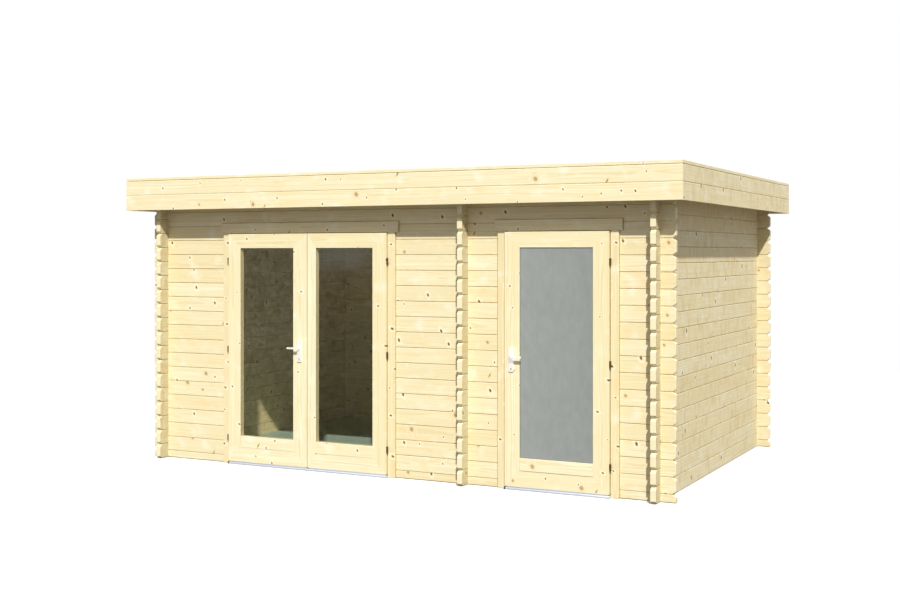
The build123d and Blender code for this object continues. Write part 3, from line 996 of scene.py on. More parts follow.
@dataclass
class Timber:
    """Lays grain in timbers: each gets its own stretch of stem, pith and tone."""

    draws: random.Random
    tone_spread: float = 0.8
    pith_out_mm: tuple[float, float] = (22.0, 70.0)
    pith_up_mm: float = 26.0
    stem_length: float = 40.0

    def lay_grain(
        self, mesh: BMesh, depth: int | None = None, paler: float = 0.0, tan: float = 0.0
    ) -> None:
        """Writes the grain coordinates of every piece in a mesh.

        Args:
            mesh: timbers as closed islands, each longest along its fibres.
            depth: the axis that the shown face looks along, where that isn't the
                timber's thinnest.
            paler: how far their tones are drawn to the pale side, from 0 to 1.
            tan: how much painted shade darkens their free ends.
        """
        grain = mesh.verts.layers.float_vector.new("grain")
        timber = mesh.faces.layers.float_vector.new("timber")
        mesh.normal_update()
        for piece in islands(mesh):
            low, high = span(piece)
            sizes = high - low
            along, wide, thin = sorted(range(3), key=lambda i: -sizes[i])
            if wide == depth:
                wide, thin = thin, wide
            middle = (low + high) / 2
            start = self.draws.uniform(0, self.stem_length)
            out = self.draws.choice((-1, 1)) * self.draws.uniform(*self.pith_out_mm) * MM
            up = self.draws.uniform(-1, 1) * self.pith_up_mm * MM
            tone = (0.5 + (self.draws.random() - 0.5) * self.tone_spread) * (1 - paler)
            for vert in {v for f in piece for v in f.verts}:
                at = vert.co - middle
                vert[grain] = Vector((at[along] + start, at[thin] + out, at[wide] + up))
            for face in piece:
                sawn_end = 1.0 if abs(face.normal[along]) > 0.5 else 0.0
                # Each face carries its tone, its free ends' painted shade, and whether it is end grain.
                face[timber] = Vector((tone, tan, sawn_end))


@dataclass
class Assembly:
    """What every sub-assembly shares: the body it rides, its timber and how its pieces are made."""

    body: str
    timber: Timber

    def place(
        self,
        name: str,
        mesh: BMesh,
        material: Material,
        slot: str,
        nodes: Sequence[str] = (),
        smooth_deg: float | None = None,
    ) -> None:
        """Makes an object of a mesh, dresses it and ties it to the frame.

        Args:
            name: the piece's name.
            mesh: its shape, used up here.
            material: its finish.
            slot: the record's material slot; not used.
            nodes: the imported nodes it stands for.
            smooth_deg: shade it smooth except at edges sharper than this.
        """
        bmesh.ops.recalc_face_normals(mesh, faces=mesh.faces)
        if smooth_deg is not None:
            for face in mesh.faces:
                face.smooth = True
            for edge in mesh.edges:
                edge.smooth = edge.is_manifold and edge.calc_face_angle() < math.radians(smooth_deg)
        data = bpy.data.meshes.new(name)
        mesh.to_mesh(data)
        mesh.free()
        data.materials.append(material)
        piece = bpy.data.objects.new(name, data)
        bpy.context.scene.collection.objects.link(piece)
        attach(piece, self.body)
        if nodes:
            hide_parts(*nodes)
        LOG.info("%s rides %s, %d faces", name, self.body, len(data.polygons))

    def work(
        self,
        name: str,
        node: str,
        material: Material,
        slot: str,
        ease_mm: float,
        steps: int = 1,
        shortest_mm: float = 8.0,
        smooth_deg: float | None = None,
    ) -> None:
        """Dresses what isn't timber: eased edges and no grain.

        Args:
            name: the piece's name.
            node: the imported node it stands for.
            material: its finish.
            slot: the record's material slot.
            ease_mm: how far the edges are taken back.
            steps: facets of the easing.
            shortest_mm: edges shorter than this stay as they are.
            smooth_deg: shade it smooth except at edges sharper than this.
        """
        solid = packed(node)
        ease_edges(solid, ease_mm, steps, shortest_mm)
        self.place(name, solid, material, slot, (node,), smooth_deg)

    def hinges(self, name: str, node: str, steel: Material) -> None:
        """Dresses the hinge halves that ride one body."""
        self.work(
            name, node, steel, "dark_hinge_steel", HINGE_EASE_MM, 1, HINGE_SHORTEST_MM, HINGE_DEG
        )

    def dress(
        self,
        name: str,
        nodes: Sequence[str],
        material: Material,
        slot: str,
        ease_mm: float,
        mesh: BMesh | None = None,
        depth: int | None = None,
        paler: float = 0.0,
    ) -> None:
        """Dresses planed timbers: eased edges and grain along each.

        Args:
            name: the piece's name.
            nodes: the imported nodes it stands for.
            material: its finish.
            slot: the record's material slot.
            ease_mm: how far the edges are taken back.
            mesh: the timbers, where they are sawn further than the nodes are.
            depth: the axis that the shown face looks along, where that isn't the
                timber's thinnest.
            paler: how far their tones are drawn to the pale side, from 0 to 1.
        """
        solid = mesh or packed(*nodes)
        ease_edges(solid, ease_mm, 2)
        self.timber.lay_grain(solid, depth, paler)
        self.place(name, solid, material, slot, nodes)


@dataclass
class LogWalls(Assembly):
    """Walls of interlocking logs, halved into each other at the crossings."""

    # How much painted shade darkens each wall's free log ends.
    free_end_shades: dict[str, float] = field(
        default_factory=lambda: {
            "front_wall_left_logs": 0.04,
            "front_wall_middle_logs": 0.04,
            "front_wall_right_logs": 0.04,
            "front_wall_top_logs": 0.04,
            "back_wall_logs": 0.14,
            "left_wall_logs": 0.19,
            "right_wall_logs": 0.19,
            "partition_logs": 0.21,
        }
    )
    arris_mm: float = 2.4
    gap_mm: float = 3.2
    gap_depth_mm: float = 7.0
    end_round_mm: float = 7.0
    end_steps: int = 4
    plate_ease_mm: float = 2.0
    straight_mm2: float = 0.2

    def build(self, planed: Material, sawn: Material) -> None:
        """Builds every wall and the plates on top.

        Args:
            planed: the wood of the logs.
            sawn: the wood of the side walls' logs.
        """
        # Each wall's logs get their painted shade at the free ends.
        for wall, tan in self.free_end_shades.items():
            mesh = self.logs(wall)
            self.timber.lay_grain(mesh, tan=tan)
            finish = sawn if wall in ("left_wall_logs", "right_wall_logs") else planed
            self.place(wall.replace("_logs", "_stack"), mesh, finish, "spruce_log", (wall,))
        self.dress("wall_plate_timbers", ("wall_plates",), planed, "spruce_log", self.plate_ease_mm)

    def logs(self, wall: str) -> BMesh:
        """Shapes a wall's logs from their outlines.

        Args:
            wall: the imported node.

        Returns:
            One closed island for each log.
        """
        low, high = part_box(wall)
        along = 0 if high.x - low.x > high.y - low.y else 1
        across = 1 - along
        mesh = bmesh.new()
        for outline in self.outlines(wall, along, (low[across] + high[across]) / 2):
            self.log(mesh, outline, along, low[across], high[across])
        return mesh

    def outlines(self, wall: str, along: int, middle: float) -> list[Outline]:
        """Cuts a wall down its middle and reads each log's outline.

        Args:
            wall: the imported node.
            along: the axis the logs run along.
            middle: the wall's middle on the other axis.

        Returns:
            Places along and up round each log, without points on straight runs.
        """
        solid = packed(wall)
        across = 1 - along
        point, normal = Vector((0, 0, 0)), Vector((0, 0, 0))
        point[across], normal[across] = middle, 1.0
        geometry = solid.verts[:] + solid.edges[:] + solid.faces[:]
        cut = bmesh.ops.bisect_plane(
            solid, geom=geometry, plane_co=point, plane_no=normal, dist=WELD
        )["geom_cut"]
        rim = {e for e in cut if isinstance(e, BMEdge)}
        found: list[Outline] = []
        while rim:
            first = min(rim, key=lambda e: tuple(round(c, 5) for v in e.verts for c in v.co))
            rim.discard(first)
            start, at = first.verts
            loop = [start, at]
            while at is not start:
                step = next(e for e in at.link_edges if e in rim)
                rim.discard(step)
                at = step.other_vert(at)
                loop.append(at)
            found.append(self.straight([(v.co[along], v.co.z) for v in loop[:-1]]))
        solid.free()
        return sorted(
            found, key=lambda o: (round(min(z for _, z in o), 4), round(min(a for a, _ in o), 4))
        )

    def straight(self, loop: Outline) -> Outline:
        """Drops points on straight runs and turns the loop anticlockwise.

        Args:
            loop: the points in order.

        Returns:
            The corners.
        """
        kept: Outline = []
        count = len(loop)
        for i, here in enumerate(loop):
            before, after = loop[i - 1], loop[(i + 1) % count]
            way, next_way = Vector(here) - Vector(before), Vector(after) - Vector(here)
            if abs(way.cross(next_way)) > MM * MM * self.straight_mm2:
                kept.append(here)
        area = sum(a[0] * b[1] - b[0] * a[1] for a, b in zip(kept, kept[1:] + kept[:1]))
        return kept if area > 0 else kept[::-1]

    def log(self, mesh: BMesh, outline: Outline, along: int, front: float, back: float) -> None:
        """Adds one log: rounded free ends, arrises taken off, and a shadow gap along its underside.

        Args:
            mesh: where it goes.
            outline: its side view.
            along: the axis it runs along.
            front: its one face.
            back: its other face.
        """
        points, eased = self.rounded(outline)
        floor = min(z for _, z in points) + self.gap_mm * MM
        raised = [(a, max(z, floor)) for a, z in points]
        inner = self.inset(raised, eased)
        arris, deep = self.arris_mm * MM, self.gap_depth_mm * MM
        slope = deep + self.gap_mm * MM / 4
        rows = (
            (inner, front),
            (raised, front + arris),
            (raised, front + deep),
            (points, front + slope),
            (points, back - slope),
            (raised, back - deep),
            (raised, back - arris),
            (inner, back),
        )
        rings = []
        for loop, depth in rows:
            verts = []
            for a, z in loop:
                place = Vector((depth, depth, z))
                place[along] = a
                verts.append(mesh.verts.new(place))
            rings.append(verts)
        count = len(points)
        for near, far in zip(rings, rings[1:]):
            for i in range(count):
                j = (i + 1) % count
                mesh.faces.new((near[i], near[j], far[j], far[i]))
        mesh.faces.new(rings[0][::-1])
        mesh.faces.new(rings[-1])

    def rounded(self, outline: Outline) -> tuple[Outline, list[bool]]:
        """Rounds the chamfered free ends of a log's outline.

        Args:
            outline: its side view.

        Returns:
            The points, and for the run after each whether its arris is taken off.
        """
        low = min(z for _, z in outline)
        high = max(z for _, z in outline)
        count = len(outline)
        corners = [Vector(p) for p in outline]
        runs = [corners[(i + 1) % count] - corners[i] for i in range(count)]
        slanted = [abs(r.x) > MM and abs(r.y) > MM for r in runs]

        def shows(i: int) -> bool:
            """True for a log's top, underside, chamfers and free end face."""
            level = abs(runs[i].y) < WELD * 10 and (
                abs(corners[i].y - low) < MM / 2 or abs(corners[i].y - high) < MM / 2
            )
            free_end = slanted[i - 1] and slanted[(i + 1) % count]
            return slanted[i] or level or free_end

        points: Outline = []
        eased: list[bool] = []
        for i, corner in enumerate(corners):
            before, after = runs[i - 1].normalized(), runs[i].normalized()
            if not (slanted[i - 1] or slanted[i]):
                points.append(tuple(corner))
                eased.append(shows(i))
                continue
            turn = before.angle(after)
            back_off = self.end_round_mm * MM * math.tan(turn / 2)
            enter, leave = corner - before * back_off, corner + after * back_off
            for step in range(self.end_steps + 1):
                t = step / self.end_steps
                bend = enter * (1 - t) ** 2 + corner * 2 * t * (1 - t) + leave * t**2
                points.append(tuple(bend))
                eased.append(True)
            eased[-1] = shows(i)
        return points, eased

    def inset(self, points: Outline, eased: list[bool]) -> Outline:
        """Moves the runs whose arris is taken off inwards.

        Args:
            points: an outline, anticlockwise.
            eased: for the run after each point whether it moves.

        Returns:
            The moved outline.
        """
        count = len(points)
        moved: Outline = []
        for i, here in enumerate(points):
            lines = []
            for k in (i - 1, i):
                a, b = Vector(points[k]), Vector(points[(k + 1) % count])
                way = (b - a).normalized()
                normal = Vector((-way.y, way.x))
                lines.append((normal, normal.dot(a) + (self.arris_mm * MM if eased[k] else 0.0)))
            (n1, d1), (n2, d2) = lines
            det = n1.x * n2.y - n1.y * n2.x
            if abs(det) < NEARLY_ZERO:
                shift = self.arris_mm * MM if eased[i] else 0.0
                moved.append((here[0] + n2.x * shift, here[1] + n2.y * shift))
            else:
                moved.append(((d1 * n2.y - d2 * n1.y) / det, (n1.x * d2 - n2.x * d1) / det))
        return moved


@dataclass
class Roof(Assembly):
    """Flat roof: purlins, boarded deck, felt laid in laps, upstands, fascias and caps."""

    board_mm: float = 96.0
    sheet_mm: float = 860.0
    lap_mm: float = 80.0
    felt_mm: float = 2.6
    upturn_mm: float = 52.0
    ramp_mm: float = 24.0
    cap_drop_mm: float = 5.5
    cap_gap_mm: float = 2.6
    seam_gap_mm: float = 1.4
    arris_mm: float = 4.0
    board_gap_mm: float = 0.3
    purlin_ease_mm: float = 2.5
    deck_ease_mm: float = 2.2
    batten_ease_mm: float = 1.5
    edge_ease_mm: float = 1.4
    edge_paler: float = 0.5
    row_mm: tuple[float, float] = (110.0, 130.0)
    columns: int = 36
    ripple_mm: float = 0.25
    bed_mm: float = 0.2
    upturn_off_mm: float = 0.3
    bend_mm: tuple[float, float, float] = (6.0, 4.0, 8.0)
    foot_mm: tuple[float, float] = (60.0, 2.2)

    def build(self, wood: Material, sawn: Material, felt: Material) -> None:
        """Builds the roof from the purlins up.

        Args:
            wood: the finish of its timbers.
            sawn: the finish of the fascias at the sides.
            felt: the finish of its covering.
        """
        slot = "planed_spruce"
        self.dress("purlin_timbers", ("roof_purlins",), wood, slot, self.purlin_ease_mm)
        self.dress("deck_boards", ("roof_deck",), wood, slot, self.deck_ease_mm, self.boards())
        under_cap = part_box("roof_cap_trims")[0].z
        drop = self.cap_drop_mm * MM
        below = drop + self.cap_gap_mm * MM
        battens, caps = packed("roof_edge_battens"), packed("roof_cap_trims")
        self.lower(battens, under_cap, below)
        self.lower(caps, under_cap, drop)
        self.dress("upstand_battens", ("roof_edge_battens",), wood, slot, self.batten_ease_mm, battens)
        ease, paler = self.edge_ease_mm, self.edge_paler
        for side, finish in (("front", wood), ("right", sawn), ("back", wood), ("left", sawn)):
            node = f"{side}_fascia"
            boards = self.fascia(node, under_cap, below)
            self.dress(f"{node}_boards", (node,), finish, slot, ease, boards, paler=paler)
        self.dress("cap_boards", ("roof_cap_trims",), wood, slot, ease, caps, paler=paler)
        self.place("felt_sheets", self.felt(), felt, "roofing_felt", ("roof_felt",))

    def lower(self, mesh: BMesh, level: float, drop: float) -> None:
        """Lowers the corners and arrises at one height.

        Args:
            mesh: the timbers.
            level: height of the corners.
            drop: how far they go down.
        """
        for vert in mesh.verts:
            if -self.arris_mm * MM < vert.co.z - level < MM / 2:
                vert.co.z -= drop

    def fascia(self, node: str, top: float, drop: float) -> BMesh:
        """Opens the seams of a fascia and sharpens its lower edge.

        Args:
            node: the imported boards.
            top: height of the joint under the cap.
            drop: how far that joint goes down.

        Returns:
            The boards.
        """
        mesh = packed(node)
        low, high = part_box(node)
        thin = 0 if high.x - low.x < high.y - low.y else 1
        outside = high[thin] if low[thin] > 0 else low[thin]
        seam = max(span(piece)[1].z for piece in islands(mesh) if span(piece)[1].z < top - MM)
        self.lower(mesh, seam, self.seam_gap_mm * MM)
        self.lower(mesh, top, drop)
        for vert in mesh.verts:
            if vert.co.z < low.z + self.arris_mm * MM:
                vert.co.z = low.z
                if abs(vert.co[thin] - outside) < self.arris_mm * MM:
                    vert.co[thin] = outside
        bmesh.ops.remove_doubles(mesh, verts=mesh.verts, dist=WELD)
        return mesh

    def boards(self) -> BMesh:
        """Saws the deck into tongued boards that run front to back.

        Returns:
            One closed island for each board.
        """
        solid = packed("roof_deck")
        low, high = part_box("roof_deck")
        count = round((high.x - low.x) / (self.board_mm * MM))
        step = (high.x - low.x) / count
        half_gap = self.board_gap_mm * MM / 2
        parts = []
        for i in range(count):
            left, right = low.x + i * step, low.x + (i + 1) * step
            cuts = []
            if i:
                cuts.append((Vector((left + half_gap, 0, 0)), Vector((-1, 0, 0))))
            if i < count - 1:
                cuts.append((Vector((right - half_gap, 0, 0)), Vector((1, 0, 0))))
            parts.append(keep_between(solid, cuts))
        solid.free()
        return gather(parts)

    def felt(self) -> BMesh:
        """Covers the deck with felt and turns it up at the edges.

        Returns:
            The sheets and the upturns.
        """
        low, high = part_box("roof_felt")
        mesh = bmesh.new()
        self.sheets(mesh, low, high)
        self.upturns(mesh, low, high)
        return mesh

    def sheets(self, mesh: BMesh, low: Vector, high: Vector) -> None:
        """Lays sheets from the back to the front, each lapped over the last.

        Args:
            mesh: where they go.
            low: the felt's lowest corner.
            high: its highest corner.
        """
        draws = random.Random(SEED)
        thick, ramp, lap = self.felt_mm * MM, self.ramp_mm * MM, self.lap_mm * MM
        row_step, longest = (size * MM for size in self.row_mm)
        step = (self.sheet_mm - self.lap_mm) * MM
        columns = [low.x + (high.x - low.x) * i / self.columns for i in range(self.columns + 1)]
        edge = high.y
        while edge - low.y > lap:
            near = max(edge - step - lap, low.y)
            rows = [edge]
            if edge < high.y:
                rows += [edge - lap * 0.5, edge - lap, edge - lap - ramp]
            while rows[-1] - near > longest:
                rows.append(rows[-1] - row_step)
            rows.append(near)
            top, under = [], []
            for y in rows:
                over = edge < high.y and edge - y <= lap + WELD
                rise = thick if over else 0.0
                top_row, under_row = [], []
                for x in columns:
                    ripple = draws.uniform(-self.ripple_mm, self.ripple_mm) * MM
                    top_row.append(mesh.verts.new((x, y, low.z + rise + thick + ripple)))
                    under_row.append(mesh.verts.new((x, y, low.z + rise + self.bed_mm * MM)))
                top.append(top_row)
                under.append(under_row)
            self.skin(mesh, top, under)
            edge -= step
            if near <= low.y:
                break

    def upturns(self, mesh: BMesh, low: Vector, high: Vector) -> None:
        """Turns the felt up at the four battens, mitred at the corners.

        Args:
            mesh: where the upturns go.
            low: the felt's lowest corner.
            high: its highest corner.
        """
        thick, off = self.felt_mm * MM, self.upturn_off_mm * MM
        top, base = low.z + self.upturn_mm * MM, low.z + thick * 2
        foot, foot_up = (size * MM for size in self.foot_mm)
        bend, bend_up, bend_top = (size * MM for size in self.bend_mm)
        profile = (
            (off, base + off),
            (off, top),
            (thick, top),
            (thick, base + bend_top),
            (bend, base + bend_up),
            (foot, base + foot_up),
            (foot, base + off),
        )
        count = len(profile)
        plan = ((low.x, low.y), (high.x, low.y), (high.x, high.y), (low.x, high.y))
        corners = [Vector((x, y, 0)) for x, y in plan]
        for start, end in zip(corners, corners[1:] + corners[:1]):
            way = (end - start).normalized()
            inward = Vector((-way.y, way.x, 0))
            near, far = [
                [
                    mesh.verts.new(corner + inward * d + way * d * sign + Vector((0, 0, z)))
                    for d, z in profile
                ]
                for corner, sign in ((start, 1), (end, -1))
            ]
            for i in range(count):
                j = (i + 1) % count
                mesh.faces.new((near[i], near[j], far[j], far[i]))
            mesh.faces.new(near[::-1])
            mesh.faces.new(far)

    @staticmethod
    def skin(mesh: BMesh, top: list[list[BMVert]], under: list[list[BMVert]]) -> None:
        """Closes a sheet between its upper and lower rows of points.

        Args:
            mesh: where it goes.
            top: the upper rows.
            under: the lower rows.
        """
        rows, columns = len(top), len(top[0])
        for r in range(rows - 1):
            for c in range(columns - 1):
                mesh.faces.new((top[r][c], top[r + 1][c], top[r + 1][c + 1], top[r][c + 1]))
                mesh.faces.new((under[r][c], under[r][c + 1], under[r + 1][c + 1], under[r + 1][c]))
        for r in range(rows - 1):
            mesh.faces.new((top[r][0], under[r][0], under[r + 1][0], top[r + 1][0]))
            mesh.faces.new((top[r][-1], top[r + 1][-1], under[r + 1][-1], under[r][-1]))
        for c in range(columns - 1):
            mesh.faces.new((top[0][c], top[0][c + 1], under[0][c + 1], under[0][c]))
            mesh.faces.new((top[-1][c], under[-1][c], under[-1][c + 1], top[-1][c + 1]))


@dataclass
class Floor(Assembly):
    """Grey floor panels, one to each room."""

    ease_mm: float = 1.5

    def build(self, finish: Material) -> None:
        """Eases the panels' edges and dresses them."""
        self.work("floor_boards", "floor_panels", finish, "grey_floor_panel", self.ease_mm, 2)


@dataclass
class Doorways(Assembly):
    """Jambs, heads, head trims, sills and the fixed hinge halves."""

    # Length of the dark plug of painted shade at each sill's left end, in the corner by the jamb.
    shade_plug_mm: float = 12.0
    # Dark strips of painted shade: how far over the head board, how far beside it, how thick; then how
    # wide beside the jambs.
    shade_strip_mm: tuple[float, float, float] = (2.5, 2.4, 2.4)
    jamb_shade_strip_mm: float = 1.2
    jamb_ease_mm: float = 1.8
    trim_ease_mm: float = 2.0
    # Head boards' tones are drawn to the pale side: a painted light, for boards that stand proud of the
    # shaded wall.
    trim_paler: float = 0.6
    head_ease_mm: float = 1.5
    sill_ease_mm: float = 1.2
    sill_shortest_mm: float = 4.0

    def build(
        self,
        wood: Material,
        knotty: Material,
        sill: Material,
        steel: Material,
        rubber: Material,
    ) -> None:
        """Dresses both doorways.

        Args:
            wood: the finish of heads and trims.
            knotty: the finish of the jambs.
            sill: the finish of the sills.
            steel: the finish of the hinges.
            rubber: the finish of the dark strips of painted shade round the head boards and jambs, and
                of the dark plug of painted shade at each sill's left end.
        """
        slot = "planed_spruce"
        for door in ("double", "single"):
            jambs, trims = f"{door}_door_jambs", f"{door}_door_head_trims"
            self.dress(f"{door}_doorway_jambs", (jambs,), knotty, slot, self.jamb_ease_mm, depth=1)
            # Head boards get a paler tone, a painted light.
            self.dress(
                f"{door}_doorway_head_boards",
                (trims,),
                wood,
                slot,
                self.trim_ease_mm,
                paler=self.trim_paler,
            )
            # Dark strips of painted shade along the head board and beside the jambs.
            self.place(f"{door}_doorway_shade_strips", self.shade_strips(door), rubber, "dark_hinge_steel")
        self.dress("doorway_heads", ("door_heads",), wood, slot, self.head_ease_mm)
        bars, shade_plugs = self.sills()
        self.place("sill_bars", bars, sill, "sill_aluminium", ("door_sills",), ROUND_DEG)
        # Painted shade: a dark plug in the corner at each sill's left end.
        self.place("sill_end_shade_plugs", shade_plugs, rubber, "dark_hinge_steel", (), ROUND_DEG)
        self.hinges("jamb_hinge_halves", "frame_hinges", steel)

    def shade_strips(self, door: str) -> BMesh:
        """Draws dark strips of painted shade round a doorway's head board and outside its jambs.

        Args:
            door: the doorway's name.

        Returns:
            One strip over the board, one at each end of it and one down each jamb.
        """
        solid = packed(f"{door}_door_head_trims")
        low, high = min((span(piece) for piece in islands(solid)), key=lambda box: box[0].y)
        solid.free()
        over, beside, thick = (size * MM for size in self.shade_strip_mm)
        front, back = high.y - thick, high.y - CLEARANCE
        top = [
            (front, high.z),
            (back, high.z),
            (back, high.z + over),
            (front + thick / 2, high.z + over),
            (front, high.z + over / 2),
        ]
        strips = [bar(low.x - beside, high.x + beside, top)]
        for edge, out in ((low.x, -beside), (high.x, beside)):
            end = [(front, low.z), (back, low.z), (back, high.z), (front, high.z)]
            strips.append(bar(min(edge, edge + out), max(edge, edge + out), end))
        solid = packed(f"{door}_door_jambs")
        first, last = span(solid.faces)
        solid.free()
        width = self.jamb_shade_strip_mm * MM
        side = [(front, first.z), (back, first.z), (back, low.z), (front, low.z)]
        strips += [bar(first.x - width, first.x, side), bar(last.x, last.x + width, side)]
        return gather(strips)

    def sills(self) -> tuple[BMesh, BMesh]:
        """Saws a short piece off the left end of each sill, a dark plug of painted shade in the corner.

        Returns:
            The bars and the pieces of painted shade, with their edges eased.
        """
        solid = packed("door_sills")
        starts = sorted(span(piece)[0].x for piece in islands(solid))
        ends = sorted(span(piece)[1].x for piece in islands(solid))
        left, right = Vector((-1, 0, 0)), Vector((1, 0, 0))
        bars, shade_plugs = [], []
        for start, end in zip(starts, ends):
            saw = start + self.shade_plug_mm * MM
            for parts, first, last in ((shade_plugs, start - MM, saw), (bars, saw + MM, end + MM)):
                cuts = [(Vector((first, 0, 0)), left), (Vector((last, 0, 0)), right)]
                parts.append(keep_between(solid, cuts))
        solid.free()
        whole, ends_only = gather(bars), gather(shade_plugs)
        for mesh in (whole, ends_only):
            ease_edges(mesh, self.sill_ease_mm, 2, self.sill_shortest_mm)
        return whole, ends_only


@dataclass
class DoorLeaf(Assembly):
    """A glazed leaf: mitred frame, kick panel, beads, pane and hinge halves."""

    leaf: str = "left_leaf"
    glazing: Glazing = Glazing.CLEAR
    left_stile_mm: float = 115.0
    right_stile_mm: float = 115.0
    top_rail_mm: float = 111.0
    bottom_rail_mm: float = 111.0
    ease_mm: float = 1.6
    panel_gap_mm: float = 1.6
    panel_side_mm: float = 0.8
    pane_edge_mm: float = 11.7
    seal_mm: tuple[float, float] = (2.0, 2.0)
    strip_mm: tuple[float, float] = (9.0, 4.6)
    strip_inset_mm: tuple[float, float] = (14.0, 8.0)
    strip_back_mm: float = 0.5
    bead_mm: float = 20.0
    bead_ease_mm: float = 1.0
    panel_ease_mm: float = 1.5
    pane_ease_mm: float = 0.8

    def build(
        self,
        wood: Material,
        glass: Material,
        steel: Material,
        metal: Material,
        rubber: Material,
    ) -> None:
        """Builds the leaf.

        Args:
            wood: the finish of frame, panel and beads.
            glass: the finish of the pane.
            steel: the finish of the hinges.
            metal: the finish of the strip under the leaf.
            rubber: the finish of the seal round the pane.
        """
        leaf, slot = self.leaf, "door_spruce"
        frame, bead, panel = f"{leaf}_frame", f"{leaf}_glazing_bead", f"{leaf}_kick_panel"
        widths = (self.left_stile_mm, self.right_stile_mm, self.bottom_rail_mm, self.top_rail_mm)
        members, beads = self.mitred(frame, widths), self.mitred(bead, (self.bead_mm,) * 4)
        self.dress(f"{leaf}_stiles_and_rails", (frame,), wood, slot, self.ease_mm, members)
        self.dress(f"{leaf}_beads", (bead,), wood, slot, self.bead_ease_mm, beads)
        self.dress(f"{leaf}_panel", (panel,), wood, slot, self.panel_ease_mm, self.panel())
        self.place(f"{leaf}_seal", self.seal(), rubber, "dark_hinge_steel")
        self.place(f"{leaf}_weather_strip", self.strip(), metal, "sill_aluminium")
        self.work(f"{leaf}_pane", f"{leaf}_glass", glass, self.glazing.value, self.pane_ease_mm)
        self.hinges(f"{leaf}_hinge_halves", f"{leaf}_hinges", steel)

    def panel(self) -> BMesh:
        """Lifts the kick panel off the bottom rail and keeps it off the stiles by thin gaps.

        Returns:
            The panel.
        """
        mesh = packed(f"{self.leaf}_kick_panel")
        low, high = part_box(f"{self.leaf}_kick_panel")
        under, beside = self.panel_gap_mm * MM, self.panel_side_mm * MM
        for vert in mesh.verts:
            vert.co.z = max(vert.co.z, low.z + under)
            vert.co.x = min(max(vert.co.x, low.x + beside), high.x - beside)
        return mesh

    def seal(self) -> BMesh:
        """Draws the rubber lip that closes the pane against the frame.

        Returns:
            The lip.
        """
        low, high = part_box(f"{self.leaf}_glass")
        inset = Vector((1, 0, 1)) * self.pane_edge_mm * MM
        wide, thick = (size * MM for size in self.seal_mm)
        back = low.y - CLEARANCE
        section = [
            (0.0, back),
            (0.0, back - thick),
            (wide * 0.4, back - thick),
            (wide, back - thick * 0.3),
            (wide, back),
        ]
        return ring(low + inset, high - inset, section)

    def strip(self) -> BMesh:
        """Draws the strip along the leaf's bottom edge.

        Returns:
            The strip.
        """
        low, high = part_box(f"{self.leaf}_frame")
        deep, tall = (size * MM for size in self.strip_mm)
        start, end = low.x + self.strip_inset_mm[0] * MM, high.x - self.strip_inset_mm[1] * MM
        front, top = low.y + self.strip_back_mm * MM, low.z - CLEARANCE
        back, bevel = front + deep, tall * 0.2
        section = [
            (front, top),
            (front, top - tall + bevel),
            (front + bevel, top - tall),
            (back - bevel, top - tall),
            (back, top - tall + bevel),
            (back, top),
        ]
        return bar(start, end, section)

    @staticmethod
    def mitred(node: str, widths_mm: tuple[float, float, float, float]) -> BMesh:
        """Saws a ring of timber into four lengths that meet in mitres.

        Args:
            node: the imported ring.
            widths_mm: its members' widths, left, right, bottom and top.

        Returns:
            Four closed islands.
        """
        solid = packed(node)
        low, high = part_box(node)
        left, right, bottom, top = (w * MM for w in widths_mm)
        middle = (low + high) / 2
        corners = {
            "bl": (Vector((low.x, 0, low.z)), Vector((left, 0, bottom))),
            "br": (Vector((high.x, 0, low.z)), Vector((-right, 0, bottom))),
            "tl": (Vector((low.x, 0, high.z)), Vector((left, 0, -top))),
            "tr": (Vector((high.x, 0, high.z)), Vector((-right, 0, -top))),
        }
        members = (
            ("bl", "tl", Vector((1, 0, 0))),
            ("br", "tr", Vector((-1, 0, 0))),
            ("bl", "br", Vector((0, 0, 1))),
            ("tl", "tr", Vector((0, 0, -1))),
        )
        parts = []
        for first, second, inward in members:
            cuts: list[Cut] = [(middle, inward)]
            for key in (first, second):
                point, way = corners[key]
                normal = Vector((-way.z, 0, way.x)).normalized()
                towards = middle - inward * FAR - point
                cuts.append((point, -normal if normal.dot(towards) > 0 else normal))
            parts.append(keep_between(solid, cuts))
        solid.free()
        return gather(parts)


